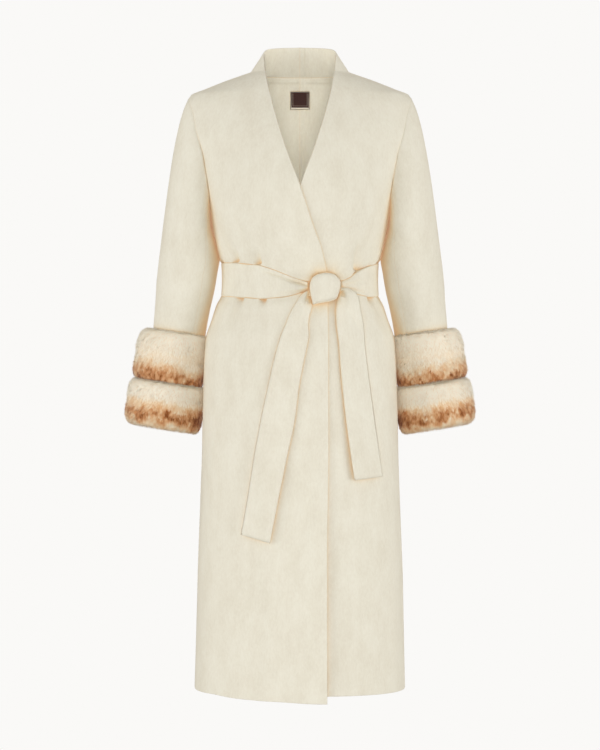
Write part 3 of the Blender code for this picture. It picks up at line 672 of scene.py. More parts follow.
# %% A wall of cloth from a grid
def add_mesh(name, points, quads, material, triangles=()):
    """A smooth-shaded mesh from arrays of corners."""
    mesh = bpy.data.meshes.new(name)
    quads = np.asarray(quads, int).reshape(-1, 4)
    triangles = np.asarray(triangles, int).reshape(-1, 3)
    corners = np.concatenate([quads.ravel(), triangles.ravel()])
    sizes = np.concatenate([np.full(len(quads), 4), np.full(len(triangles), 3)])
    mesh.vertices.add(len(points))
    mesh.vertices.foreach_set("co", np.asarray(points, np.float32).ravel())
    mesh.loops.add(len(corners))
    mesh.loops.foreach_set("vertex_index", corners.astype(np.int32))
    mesh.polygons.add(len(sizes))
    mesh.polygons.foreach_set("loop_start", (np.cumsum(sizes) - sizes).astype(np.int32))
    mesh.update(calc_edges=True)
    mesh.validate()
    mesh.shade_smooth()
    mesh.materials.append(material)
    made = bpy.data.objects.new(name, mesh)
    scene.collection.objects.link(made)
    return made


def tube_quads(rows, size, other_way=False):
    """The corners of each cell of a grid that is closed round its columns and along its rows."""
    number = np.arange(rows * size).reshape(rows, size)
    below = np.roll(number, -1, axis=0)
    cells = np.stack([number, below, np.roll(below, -1, axis=1), np.roll(number, -1, axis=1)], -1)
    return cells[..., [0, 3, 2, 1]] if other_way else cells


def grid_quads(present):
    """The corners of each cell of a grid whose four corners are all present."""
    number = np.arange(present.size).reshape(present.shape)
    quads = np.stack([number[:-1, :-1], number[:-1, 1:], number[1:, 1:], number[1:, :-1]], -1)
    return quads[present.ravel()[quads].all(axis=-1)]


def shade_along(made, facing, chosen):
    """Shades the chosen corners of a mesh by the given directions and the rest by its surface."""
    own = np.zeros(len(made.data.vertices) * 3)
    made.data.vertices.foreach_get("normal", own)
    own = own.reshape(-1, 3)
    own[chosen] = facing[chosen]
    made.data.normals_split_custom_set_from_vertices(own)


RIM_STEPS = 4


def add_wall(name, outside, normals, material, thickness=CLOTH, roundness=1.0):
    """A piece of cloth: a grid of outside points, its wall to the inside, and a round rim.

    A roundness of 1 is a half circle, as at a free edge, and a lower one is a flatter rim.
    """
    present = np.isfinite(outside).all(axis=-1)
    quads = grid_quads(present)
    used = np.unique(quads)
    place = np.full(present.size, -1)
    place[used] = np.arange(len(used))
    quads = place[quads]
    points = outside.reshape(-1, 3)[used]
    out = normals.reshape(-1, 3)[used]
    thick = np.broadcast_to(thickness, present.shape).reshape(-1)[used][:, None]
    bulge = np.broadcast_to(roundness, present.shape).reshape(-1)[used][:, None] * thick / 2
    count = len(used)
    ends = np.concatenate([quads[:, [k, (k + 1) % 4]] for k in range(4)])
    rim = ends[~np.isin(ends[:, 0] * count + ends[:, 1], ends[:, 1] * count + ends[:, 0])]
    away = np.zeros((count, 3))
    side = np.cross(unit(points[rim[:, 1]] - points[rim[:, 0]]), out[rim[:, 0]])
    np.add.at(away, rim[:, 0], side)
    np.add.at(away, rim[:, 1], side)
    edge = np.unique(rim)
    away[edge] = unit(away[edge])
    reach = thick / 2
    points = points - away * (bulge + SEAM_GAP / 2)
    rim_place = np.zeros(count, int)
    rim_place[edge] = np.arange(len(edge))
    loops, layers, facing = [np.arange(count)], [points], [out]
    for bend in math.pi * np.arange(1, RIM_STEPS) / RIM_STEPS:
        layer = points - out * reach * (1 - math.cos(bend)) + away * bulge * math.sin(bend)
        loops.append(sum(len(each) for each in layers) + rim_place)
        layers.append(layer[edge])
        facing.append(unit(out * bulge * math.cos(bend) + away * reach * math.sin(bend))[edge])
    loops.append(sum(len(each) for each in layers) + np.arange(count))
    layers.append(points - out * thick)
    facing.append(-out)
    faces = [quads, loops[-1][quads[:, ::-1]]]
    for upper, lower in zip(loops[:-1], loops[1:]):
        a, b = rim[:, 0], rim[:, 1]
        faces.append(np.stack([upper[b], upper[a], lower[a], lower[b]], -1))
    made = add_mesh(name, np.concatenate(layers), np.concatenate(faces), material)
    total = sum(len(each) for each in layers)
    at_rim = np.zeros(total, bool)
    at_rim[np.concatenate([edge, np.arange(count, total - count), total - count + edge])] = True
    shade_along(made, np.concatenate(facing), at_rim)
    return made


NEAR_EDGE = (0.0024, 0.0050, 0.0090)


def spread(low, high, step, near=NEAR_EDGE):
    """Even places from low to high, with closer ones at both ends for the rim and the seam."""
    inner_low, inner_high = low + near[-1], high - near[-1]
    even = np.linspace(inner_low, inner_high, max(2, round((inner_high - inner_low) / step) + 1))
    close = np.array(near[:-1])
    return np.concatenate([[low], low + close, even, high - close[::-1], [high]])


# %% [markdown]
# ### Fronts and back
#
# There are four pieces of cloth round the body. Each front is cut in one with its half of the
# collar, and the back has a seam down the middle. They meet at the sides, along the shoulders and
# round the neck, where the sleeves leave an armhole on each side.

# %% The armhole
ARMHOLE = {
    "height": (-0.262, -0.255, -0.240, -0.218, -0.190, -0.158, -0.125, -0.095, -0.070, -0.052, -0.041),
    "front": (0.0, 0.017, 0.031, 0.041, 0.0455, 0.0455, 0.042, 0.0355, 0.027, 0.016, 0.0),
    "back": (0.0, 0.020, 0.038, 0.050, 0.056, 0.057, 0.053, 0.045, 0.033, 0.019, 0.0),
}


def armhole_angle(side, height):
    """The angle, without its sign, of the armhole's front or back edge."""
    height = np.asarray(height, float)
    away = column(ARMHOLE, side, height)
    half_width, depth, power = columns(BODY, f"half_width {side} power", height)
    share = np.clip(1 - (away / depth) ** power, 0.0, 1.0)
    turn = np.degrees(np.arctan2(half_width * share ** (1 / power), away))
    turn = np.where((height <= UNDERARM) | (height >= SHOULDER_TIP), 90.0, turn)
    return turn if side == "front" else 180.0 - turn


# %% Rows and columns
ROW_STEP = 0.0075
COLUMN_STEP = 0.0045
UPPER_SKIRT = -0.43
WALL_ROWS = np.array(
    [-0.0007, -0.0005, 0.0, 0.0006, 0.0013, 0.0023, 0.0036, 0.0052, 0.0072, 0.0096, 0.0124]
)
body_rows = np.unique(np.round(np.concatenate([
    spread(HEM, UPPER_SKIRT, ROW_STEP)[:-1],
    np.linspace(UPPER_SKIRT, PRESSED_BOTTOM - 0.0155, 5),
    PRESSED_BOTTOM - WALL_ROWS,
    np.linspace(PRESSED_BOTTOM + 0.0014, PRESSED_TOP - 0.0014, 11),
    PRESSED_TOP + WALL_ROWS,
    np.linspace(PRESSED_TOP + 0.0155, -0.300, 9),
    np.linspace(-0.300, UNDERARM - 0.004, 6),
    np.linspace(UNDERARM, SHOULDER_TIP, 44),
    np.linspace(SHOULDER_TIP, 0.0, 22),
]), 6))
collar_rises = np.array([0.05, 0.1, 0.2, 0.3, 0.4, 0.5, 0.6, 0.7, 0.8, 0.88, 0.94, 1.0])


def shares(length, step=COLUMN_STEP, near=NEAR_EDGE):
    """Places from 0 to 1 across a piece of this width, closer at its two edges."""
    return spread(0.0, length, step, near) / length


FRONT_WIDTH = 0.36
BACK_WIDTH = 0.30
SEAM_ROUND = 0.15
COLLAR_HALF = 0.105
COLLAR_REACH = 0.965
WELT_WIDTH = 0.0095
WELT_EDGE = (0.0009, 0.0007)
WELT = 0.0013
WELT_COLUMNS = (0.0024, 0.0050, 0.0086, 0.0094, 0.0102)
SEAM_RIDGE = 0.0006
RIDGE_AWAY = 0.0042
RIDGE_WIDTH = 0.0018


def seam_ridges(distance):
    """The two soft ridges beside a seam, where its allowance lies doubled under the cloth."""
    return SEAM_RIDGE * np.exp(-(((distance - RIDGE_AWAY) / RIDGE_WIDTH) ** 2))


def felled(distance, others=0):
    """The extra thickness where the allowance of a seam is turned down on the inside."""
    extra = WELT * (1 - ease(distance, WELT_WIDTH - WELT_EDGE[0], WELT_WIDTH + WELT_EDGE[1]))
    return np.pad(extra, ((0, 0), (0, others)))


def front_grid(side, over):
    """Points, directions and rim of a front with its half of the collar. side is -1 at -X."""
    collar_back = shares(COLLAR_HALF, near=WELT_COLUMNS)[:-1]
    collar_back = collar_back / collar_back[-1] * COLLAR_REACH
    across = shares(FRONT_WIDTH)
    levels = np.concatenate([body_rows, COLLAR_RISE * collar_rises])
    angles = np.full((len(levels), len(collar_back) + len(across)), np.nan)
    for i, level in enumerate(levels):
        height = min(level, 0.0)
        outer = -float(armhole_angle("front", height))
        for _ in range(2):
            inner = angle_at(float(column(FRONT_EDGE, "across", height)), height, over)
            height = float(waist_place(side * -inner, min(level, 0.0)))
        angles[i, len(collar_back):] = outer + (inner - outer) * across
        if level >= 0:
            angles[i, : len(collar_back)] = -180 + 90 * collar_back
    rim = np.ones(angles.shape)
    rim[levels < 0, len(collar_back)] = SEAM_ROUND
    rim[:, 0] = SEAM_ROUND
    rim[levels == 0, : len(collar_back) + 1] = SEAM_ROUND
    heights = waist_place(side * -np.nan_to_num(angles), levels[:, None])
    points = skin(side * -angles, heights, over)
    out = skin_normal(side * -angles, heights, over)
    below = (levels <= 0)[:, None]
    seam = len(collar_back)
    from_seam = np.linalg.norm(points[:, seam:] - points[:, seam : seam + 1], axis=-1)
    points[:, seam:] += (seam_ridges(from_seam) * below)[..., None] * out[:, seam:]
    if over:
        drop = hem_drop(points[..., 0]) * ease(-heights, DROP_BELOW, -HEM)
        points[..., 2] -= np.where(heights < 0, drop, 0.0)
    thick = np.full(angles.shape, CLOTH)
    if side > 0:
        thick[levels > 0] += felled(collar_back[None] * COLLAR_HALF, len(across))
        points, out, rim, thick = points[:, ::-1], out[:, ::-1], rim[:, ::-1], thick[:, ::-1]
    return points, out, rim, thick


def back_grid(side):
    """Points, directions and rim of half of the back."""
    across = shares(BACK_WIDTH, near=WELT_COLUMNS)
    outer = armhole_angle("back", body_rows)[:, None]
    angles = outer + (180 - outer) * across
    heights = waist_place(side * angles, body_rows[:, None])
    points = skin(side * angles, heights)
    out = skin_normal(side * angles, heights)
    rim = np.ones(angles.shape)
    rim[:, [0, -1]] = rim[-1] = SEAM_ROUND
    from_middle = np.linalg.norm((points - points[:, -1:])[..., :2], axis=-1)
    from_side = np.linalg.norm(points - points[:, :1], axis=-1)
    points = points + out * (seam_ridges(from_middle) + seam_ridges(from_side))[..., None]
    thick = CLOTH + np.maximum(felled(from_middle) * (side > 0), felled(-heights))
    if side < 0:
        points, out, thick = points[:, ::-1], out[:, ::-1], thick[:, ::-1]
    return points, out, rim, thick


def cut_size(grid):
    """The longest row and the longest column of a grid, along the cloth."""
    return [
        round(float(np.nansum(np.linalg.norm(np.diff(grid, axis=way), axis=-1), axis=way).max()), 3)
        for way in (1, 0)
    ]


# %% The four body pieces
def dress(piece, solid):
    """The piece rides on the coat, and the solid that it stands for is hidden."""
    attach(piece, "root")
    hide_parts(solid)
    print(piece.name, sum(len(face.vertices) - 2 for face in piece.data.polygons), "triangles")
    return piece


for panel, (points, out, rim, thick) in {
    "front_right": front_grid(-1, True),
    "front_left": front_grid(1, False),
    "back_right": back_grid(-1),
    "back_left": back_grid(1),
}.items():
    dress(add_wall(f"{panel}_wool", points, out, cream_wool, thick, rim), panel)
    print("longest row and column:", cut_size(points), "m")

# %% [markdown]
# ## The sleeves
#
# A tailored sleeve is two pieces, a wide upper one and a narrow under one, so that it can follow
# the arm's slight bend. Its head is longer than the armhole and is eased in, so it leaves the
# shoulder with a soft round and drops straight. The grid runs round the sleeve and down it. Above
# the elbow the rows bend out of the armhole, and below it they are rings across the arm.

# %% The rings of a sleeve
SLEEVE = {
    "height": (-0.660, -0.6337, -0.550, -0.4716, -0.4446, -0.416, -0.380, -0.344),
    "across": (-0.2488, -0.2446, -0.2312, -0.2192, -0.2158, -0.2118, -0.2066, -0.2016),
    "back": (0.0505, 0.0475, 0.038, 0.027, 0.022, 0.018, 0.013, 0.010),
    "half_width": (0.0460, 0.0462, 0.0470, 0.0480, 0.0488, 0.0504, 0.0531, 0.0540),
    "half_depth": (0.0500, 0.0501, 0.0505, 0.0510, 0.0515, 0.0525, 0.0540, 0.0550),
}
HEAD_END = -0.344
SLEEVE_HEM = -0.634
HEAD_SLOPE = (52.0, 83.0)
HEAD_FULLNESS = (0.043, 0.36)
HEAD_SWELL = 0.28
ARM_LINE = (-0.13, 0.03, -1.0)
ARM_SHARE = 0.33
TO_FRONT = np.array([0.0, -1.0, 0.0])


def sleeve_frame(height):
    """The centres, the sideways directions and the half sizes of sleeve rings."""
    height = np.asarray(height, float)
    across, back, half_width, half_depth = columns(SLEEVE, "across back half_width half_depth", height)
    step = 0.004
    rise = column(SLEEVE, "across", height + step) - column(SLEEVE, "across", height - step)
    lean = np.arctan(rise / (2 * step))
    sideways = np.stack([-np.cos(lean), 0.0 * lean, np.sin(lean)], axis=-1)
    return np.stack([across, back, height], axis=-1), sideways, half_width, half_depth


def sleeve_ring(height, turn, grow=0.0):
    """Points round a sleeve at -X. The turn is 0 at its outermost line and grows to the front."""
    centre, sideways, half_width, half_depth = sleeve_frame(np.broadcast_to(height, np.shape(turn)))
    out = (np.cos(turn) * (half_width + grow))[..., None] * sideways
    return centre + out + (np.sin(turn) * (half_depth + grow))[..., None] * TO_FRONT


# %% The sleeve head
def armhole_loop(turn):
    """The armhole at -X, from the shoulder tip down the front and up the back."""
    knots = np.linspace(0, np.pi, len(ARMHOLE["height"]))
    turn = turn % (2 * np.pi)
    heights = smooth(knots, ARMHOLE["height"][::-1], np.where(turn <= np.pi, turn, 2 * np.pi - turn))
    angles = np.where(turn <= np.pi, armhole_angle("front", heights), armhole_angle("back", heights))
    return skin(-angles, heights), skin_normal(-angles, heights)


HEAD_FIRST_ROWS = [0, 0.012, 0.03]
HEAD_ROWS = 34
ARM_ROWS = 46


def sleeve_grid(turn):
    """Columns of the whole sleeve at -X, from the armhole to its hem inside the fur."""
    start, _ = armhole_loop(turn)
    end = sleeve_ring(HEAD_END, turn)
    under = (1 - np.cos(turn)) / 2
    drop = np.radians(HEAD_SLOPE[0] + (HEAD_SLOPE[1] - HEAD_SLOPE[0]) * under**0.8)
    away = np.stack([-np.cos(drop), -HEAD_SWELL * np.sin(turn) * (1 - under), -np.sin(drop)], axis=-1)
    length = np.linalg.norm(end - start, axis=-1)
    first = start + away * (HEAD_FULLNESS[0] * (1 - under) + HEAD_FULLNESS[1] * length * under)[:, None]
    last = end - np.array(ARM_LINE) * (ARM_SHARE * length)[:, None]
    head = [
        start * (1 - t) ** 3 + first * 3 * t * (1 - t) ** 2 + last * 3 * t**2 * (1 - t) + end * t**3
        for t in np.concatenate([HEAD_FIRST_ROWS, np.linspace(0.055, 1, HEAD_ROWS)])
    ]
    down = [sleeve_ring(z, turn) for z in np.linspace(HEAD_END, SLEEVE_HEM, ARM_ROWS)[1:]]
    return np.array(head + down)


# %% [markdown]
# A hanging sleeve shows soft cross folds at the bend of the elbow, mostly at the front and inside,
# and slow shallow waves down its length.

# %% The two pieces of each sleeve
SLEEVE_FOLDS = {
    "height": (-0.310, -0.30, -0.335, -0.372, -0.405, -0.33, -0.385),
    "turn": (203, 118, 100, 122, 104, 250, 262),
    "tilt": (0.0, 0.018, -0.014, 0.016, -0.010, 0.015, -0.014),
    "reach": (38, 44, 38, 42, 34, 40, 36),
    "depth": (0.0062, -0.0022, 0.0016, -0.0020, 0.0012, -0.0018, -0.0014),
    "width": (0.030, 0.011, 0.010, 0.012, 0.010, 0.012, 0.012),
}
FOREARM_SEAM = math.radians(126)
BACK_ARM_SEAM = math.radians(234)
ARM_WAVE_DEPTH = 0.0011
ARM_WAVE_SIZE = 0.045
FREE_BELOW = (0.10, 0.20)
HEAD_SEAM_SHARE = (0.9, 1.5)
SLEEVE_PIECES = {
    "under": (FOREARM_SEAM, BACK_ARM_SEAM, 0.098),
    "upper": (BACK_ARM_SEAM, FOREARM_SEAM + 2 * math.pi, 0.215),
}


def sleeve_relief(grid, turn, seed):
    """How far folds and slow waves move the sleeve's points out."""
    degrees = np.degrees(turn) % 360
    moved = np.zeros(grid.shape[:2])
    for height, middle, tilt, reach, depth, width in zip(*SLEEVE_FOLDS.values()):
        off = (degrees - middle) / reach
        line = height + tilt * off
        moved += depth * np.exp(-(off**2)) * np.exp(-(((grid[..., 2] - line) / width) ** 2))
    free = ease(-grid[..., 2], *FREE_BELOW)
    return moved + ARM_WAVE_DEPTH * free * cloud(grid * (1, 1, 0.35), ARM_WAVE_SIZE, seed)


def add_sleeve(side_name, side, step=1e-3):
    """A sleeve: the upper piece lies outside the two long seams, the under one within them."""
    for piece, (first, last, width) in SLEEVE_PIECES.items():
        turn = first + (last - first) * shares(width)
        grid = sleeve_grid(turn)
        round_it = sleeve_grid(turn + step) - sleeve_grid(turn - step)
        out = unit(np.cross(np.gradient(grid, axis=0), round_it))
        own = ease(1 - np.cos(turn), *HEAD_SEAM_SHARE)[:, None]
        out[0] = unit(out[0] * own + armhole_loop(turn)[1] * (1 - own))
        grid = grid + out * sleeve_relief(grid, turn, 31 + side)[..., None]
        seams = (grid[:1], grid[:, :1], grid[:, -1:])
        ridges = sum(seam_ridges(np.linalg.norm(grid - seam, axis=-1)) for seam in seams)
        grid = grid + out * ridges[..., None]
        if side > 0:
            grid, out = grid * (-1, 1, 1), out * (-1, 1, 1)
        else:
            grid, out = grid[:, ::-1], out[:, ::-1]
        name = f"sleeve_{piece}_{side_name}"
        rim = np.full(grid.shape[:2], SEAM_ROUND)
        rim[-1] = 1.0
        dress(add_wall(f"{name}_wool", grid, out, cream_wool, roundness=rim), name)
        print("longest row and column:", cut_size(grid), "m")


add_sleeve("right", -1)
add_sleeve("left", 1)

# %% [markdown]
# ## The fur
#
# Each sleeve ends in two rings of short dense fur, such as fox or a good faux fur, set on the sleeve
# one above the other. The fur is cream for most of its length and is dyed brown towards the lower
# edge of each ring, where the tips of the hair lie. It could be made with a hair system, but hair
# isn't a mesh and wouldn't be exported. So each lock is a tapered blade of three triangles,
# and tens of thousands of them stand on a soft ring. The hair is combed outwards and down.

# %% The form of a fur band
FUR_TOP = -0.468
FUR_BANDS = {
    "name": ("upper", "lower"),
    "start": (0.0, 0.0926),
    "end": (0.092, 0.1766),
    "radius": (0.0663, 0.0718),
    "shift": (-0.0080, -0.0060),
    "against_body": (0.0030, 0.0008),
    "corner_above": (3.0, 4.5),
    "corner_below": (6.0, 3.8),
}
FUR_CORNER = 3.0
FUR_LIP = 0.12
FUR_FLATTER = 0.002
FUR_SEAT = 0.0005
LIP_INSET = (0.0010, 0.0062)


def height_along_sleeve(length):
    """The height of the sleeve's centre line at a length down from the top of the fur."""
    run = column(SLEEVE, "across", FUR_TOP) - column(SLEEVE, "across", SLEEVE_HEM)
    lean = math.atan(run / (FUR_TOP - SLEEVE_HEM))
    return FUR_TOP - length * math.cos(lean)


def share_down(bend):
    """Where a bend lies down its band, from -1 at the top to 1 at the lower edge."""
    return -np.sign(np.cos(bend)) * np.abs(np.cos(bend)) ** (2 / FUR_CORNER)


def fur_place(row, bend, turn, sunk=0.0):
    """A place on a band at -X. bend goes round its section, from 0 at the top lip to pi at the lower."""
    _, start, end, radius, shift, against, corner_above, corner_below = (
        values[row] for values in FUR_BANDS.values()
    )
    share = share_down(bend)
    if sunk:
        start, end = start + LIP_INSET[0], end - LIP_INSET[1]
    height = height_along_sleeve((start + end) / 2 + share * (end - start) / 2)
    centre, sideways, half_width, half_depth = sleeve_frame(height)
    corner = np.where(share < 0, corner_above, corner_below)
    fullness = np.clip(1 - np.abs(share) ** corner, 0, 1) ** (1 / corner)
    seat = half_width + FUR_SEAT
    thick = FUR_LIP + (1 - FUR_LIP) * fullness
    room = radius - against * ease(-np.cos(turn), 0.0, 1.0) - seat
    grown = seat + (room - sunk) * thick
    deep = seat + half_depth - half_width + (room - FUR_FLATTER - sunk) * thick
    place = centre + (np.cos(turn) * grown - shift * fullness)[..., None] * sideways
    return place + (np.sin(turn) * deep)[..., None] * TO_FRONT


# %% [markdown]
# The dye is a value along each lock's place on the ring: 0 is cream, 1 is the darkest brown. It is
# worked out when the locks are made, so that a lock has one dye from root to tip, and it is uneven
# in clumps, as on real fur. On the side of each ring that faces the coat the value is raised, which is
# painted shade between the fur and the coat. The material turns the value to a colour.

# %% The dye of the fur, and the painted shade on its coat side
DYE = {
    "turn": (0, 45, 90, 135, 180, 225, 270, 315, 360),
    "upper": (0.62, 0.62, 0.66, 0.70, 0.64, 0.66, 0.68, 0.64, 0.62),
    "lower": (0.44, 0.44, 0.46, 0.50, 0.42, 0.46, 0.46, 0.44, 0.44),
}
DYE_SOFTNESS = (0.10, 0.30)
DYE_RAGGED = ((0.06, 0.007), (0.07, 0.028))
DYE_BLOTCHES = ((0.42, 0.0040), (0.30, 0.010))
DYE_LEAST, DYE_MORE = 0.19, 0.84
# Painted shade: how much browner the fur is made on the side that faces the coat.
COAT_SIDE_SHADE = (0.20, 0.30)
PALE_TIP = 0.60


def clouds(place, layers, seed):
    """Clouds of several strengths and sizes on top of each other."""
    return sum(strength * cloud(place, size, seed + k) for k, (strength, size) in enumerate(layers))


def dye_with_coat_shade(row, bend, turn, place, seed):
    """How brown the fur is, from 0 for cream to 1 for the darkest brown, raised on the side that faces the
    coat as painted shade.
    """
    start = column(DYE, FUR_BANDS["name"][row], np.degrees(turn) % 360, by="turn")
    share = 0.5 + 0.5 * share_down(bend) + clouds(place, DYE_RAGGED, seed)
    amount = ease(share, start - DYE_SOFTNESS[0], start + DYE_SOFTNESS[1])
    blotch = 0.5 + clouds(place, DYE_BLOTCHES, seed + 2)
    # Painted shade: the fur is made browner on the side that faces the coat, where shade falls between the
    # fur and the body.
    deep = ease(-np.cos(turn), 0.55, 0.95) * COAT_SIDE_SHADE[row]
    amount = amount * (DYE_LEAST + DYE_MORE * blotch + deep)
    if row:
        amount = amount * (1 - PALE_TIP * ease(share, 0.78, 0.98))
    return np.clip(amount, 0, 1)


# %% The fur material
fur, tree, shader = new_material("dyed_fur")
about = node(tree, "ShaderNodeAttribute", {"attribute_name": "fur"}).outputs["Vector"]
parts = node(tree, "ShaderNodeSeparateXYZ", links={"Vector": about}).outputs
tone = tone_of(tree, parts["X"], [
    (0.0, "#FAF5E9"), (0.15, "#F6E7CE"), (0.38, "#ECCAA0"), (0.66, "#D39562"), (1.0, "#84400F")
])
# Painted shade: each lock is darker at its root, where the fur shades itself, and pale at its tip.
depth = tone_of(tree, parts["Y"], [(0.0, "#F2E8DA"), (0.45, "#FCF8F0"), (1.0, "#FFFFFF")])
shaded = mix(tree, 1.0, tone, depth, "MULTIPLY")
# Painted light: the fur gives off a faint glow of its own colour, in place of light that wanders between the
# hairs.
plug(
    tree, shader, {"Base Color": shaded, "Emission Color": shaded}, Emission_Strength=0.085,
    Roughness=0.8, Specular_IOR_Level=0.2, Sheen_Weight=0.25, Sheen_Roughness=0.5,
)
print("fur ready")

# %% The locks of a band
LOCKS = 38000
LOCK_LENGTH = 0.0072
LOCK_WIDTH = 0.00092
LOCK_TAPER = 0.8
# Where the five corners of a lock lie from root to tip, which the material turns into painted shade at the
# roots.
LOCK_ROOT_SHADE = (0.0, 0.0, 0.55, 0.55, 1.0)
LOCK_LIFT, LOCK_FALL = (0.75, 0.65), (0.22, 0.9)
LOCK_STRAY, LOCK_TWIST = 0.10, 0.25
TIP_STRAY, FACING_STRAY = 1.5, 0.35
LENGTH_VARIES, DYE_VARIES = (0.7, 1.2), (0.78, 1.22)
RING_BENDS, RING_TURNS, HOLE_RINGS = 34, 96, 5
FUR_DEPTH = 0.0034
FUR_END = 0.02
DOWN_THE_ARM = unit(np.array([-0.16, 0.10, -1.0]))
TUFTS = ((0.26, 0.006), (0.16, 0.020))


def comb_fur(row, bend, turn, root, random, seed):
    """Each lock's outward direction, its lift, its two halves and the direction it is shaded by."""
    step = 0.01
    round_it, down_it = (
        fur_place(row, bend + b, turn + t, FUR_DEPTH) - fur_place(row, bend - b, turn - t, FUR_DEPTH)
        for b, t in ((0, step), (step, 0))
    )
    out = unit(np.cross(down_it, round_it))
    low = ease(bend, np.pi / 2, np.pi)[:, None]
    comb = unit(unit(down_it) * (1 - low) + DOWN_THE_ARM * low)
    stray = sum(
        strength * np.stack([cloud(root, size, seed + 9 * k + j) for j in (1, 2, 3)], -1)
        for k, (strength, size) in enumerate(TUFTS)
    )
    stray = stray + random.normal(0, LOCK_STRAY, (LOCKS, 3))
    length = (LOCK_LENGTH * random.uniform(*LENGTH_VARIES, LOCKS))[:, None]
    lift = unit(out * LOCK_LIFT[0] + comb * LOCK_LIFT[1] + stray)
    fall = unit(out * LOCK_FALL[0] + comb * LOCK_FALL[1] + TIP_STRAY * stray)
    return out, lift, lift * length / 2, fall * length / 2, unit(out + FACING_STRAY * stray)


def add_fur(name, side, row, seed):
    """A band of fur: a soft ring, and the locks on it."""
    random = np.random.default_rng(seed)
    turn = random.uniform(0, 2 * np.pi, LOCKS)
    bend = random.uniform(FUR_END, np.pi - FUR_END, LOCKS)
    root = fur_place(row, bend, turn, FUR_DEPTH)
    out, lift, first_half, second_half, facing = comb_fur(row, bend, turn, root, random, seed)
    middle = root + first_half
    across = unit(np.cross(lift, out) + random.normal(0, LOCK_TWIST, (LOCKS, 3)))
    across = across * np.sign(np.sum(np.cross(across, lift) * out, -1))[:, None]
    half = across * LOCK_WIDTH / 2
    narrow = half * LOCK_TAPER
    blades = [root - half, root + half, middle + narrow, middle - narrow, middle + second_half]
    lock_dye_with_shade = dye_with_coat_shade(row, bend, turn, root, seed + 20)
    lock_dye_with_shade = np.clip(lock_dye_with_shade * random.uniform(*DYE_VARIES, LOCKS), 0, 1)

    turns = np.linspace(0, 2 * np.pi, RING_TURNS + 1)[:-1]
    grid_bend, grid_turn = np.meshgrid(np.linspace(0.0, np.pi, RING_BENDS), turns, indexing="ij")
    ring = fur_place(row, grid_bend, grid_turn, FUR_DEPTH)
    ring_dye_with_shade = dye_with_coat_shade(row, grid_bend, grid_turn, ring, seed + 20)
    lengths = np.linspace(FUR_BANDS["end"][row], FUR_BANDS["start"][row], HOLE_RINGS + 2)[1:-1]
    hole = np.array([sleeve_ring(height_along_sleeve(z), turns, FUR_SEAT) for z in lengths])
    ring_points = np.concatenate([ring, hole]).reshape(-1, 3)
    count = len(ring_points)

    first = count + 5 * np.arange(LOCKS)[:, None]
    ring_quads = tube_quads(len(ring) + len(hole), len(turns)).reshape(-1, 4)
    quads = np.concatenate([ring_quads, first + [0, 1, 2, 3]])
    triangles = first + [3, 2, 4]
    points = np.concatenate([ring_points, np.stack(blades, 1).reshape(-1, 3)])
    facing = np.concatenate([np.zeros((count, 3)), np.repeat(facing, 5, axis=0)])
    if side > 0:
        points, facing = points * (-1, 1, 1), facing * (-1, 1, 1)
        quads, triangles = quads[:, ::-1], triangles[:, ::-1]
    facts = np.zeros((len(points), 3))
    facts[: ring_dye_with_shade.size, 0] = ring_dye_with_shade.ravel()
    facts[count:, 0] = np.repeat(lock_dye_with_shade, 5)
    # The second value is each corner's place from root to tip, for the painted root shade.
    facts[count:, 1] = np.tile(LOCK_ROOT_SHADE, LOCKS)
    made = add_mesh(name, points, quads, fur, triangles)
    known = made.data.attributes.new("fur", "FLOAT_VECTOR", "POINT")
    known.data.foreach_set("vector", facts.ravel())
    shade_along(made, facing, np.arange(len(points)) >= count)
    return made


for side_name, side in (("right", -1), ("left", 1)):
    for row, band in enumerate(FUR_BANDS["name"]):
        piece = add_fur(f"fur_{band}_{side_name}_locks", side, row, 100 * (row + 1) + side)
        dress(piece, f"fur_{band}_{side_name}")

# %% [markdown]
# ## The sash
#
# The sash is a strip of the same wool, doubled and turned, so its long edges are folds and not cuts.
# It goes round the waist, is tied in one knot left of the middle, and its two ends hang in front.
# Near the knot the strip is squeezed together, so it is narrow and thick there, with lengthwise
# folds that run out as it widens.

# %% A doubled strip
SASH_CLOTH = 0.0042
FOLDED_EDGE = 0.0013


def distance_inwards(grid, way):
    """How far each point of a grid is from the nearer of two opposite edges, along the cloth."""
    steps = np.linalg.norm(np.diff(grid, axis=way), axis=-1)
    before = np.cumsum(np.insert(steps, 0, 0.0, axis=way), axis=way)
    return np.minimum(before, np.take(before, [-1], axis=way) - before)


def add_strip(name, inner, out, relief):
    """A closed strip of doubled cloth with rounded edges. Its inner face is a grid of points."""
    near = np.minimum(distance_inwards(inner, 0), distance_inwards(inner, 1))
    half = SASH_CLOTH / 2
    full = np.sqrt(np.clip(1 - (1 - np.clip(near / FOLDED_EDGE, 0, 1)) ** 2, 0.0004, 1))[..., None]
    back = inner + out * half * (1 - full)
    front = inner + out * (half * (1 + full) + relief[..., None] * full)
    count, wide = inner.shape[:2]
    ring = np.concatenate([back, front[:, -2:0:-1]], axis=1)
    size = ring.shape[1]
    quads = tube_quads(count, size, other_way=True)[:-1].reshape(-1, 4)
    steps = np.arange(1, wide - 2)
    cap = np.stack([steps, steps + 1, size - steps - 1, size - steps], -1)
    tips = np.array([[0, 1, size - 1], [wide - 2, wide - 1, wide]])
    last = (count - 1) * size
    quads = np.concatenate([quads, cap[:, ::-1], cap + last])
    triangles = np.concatenate([tips[:, ::-1], tips + last])
    return add_mesh(name, ring.reshape(-1, 3), quads, cream_wool, triangles)


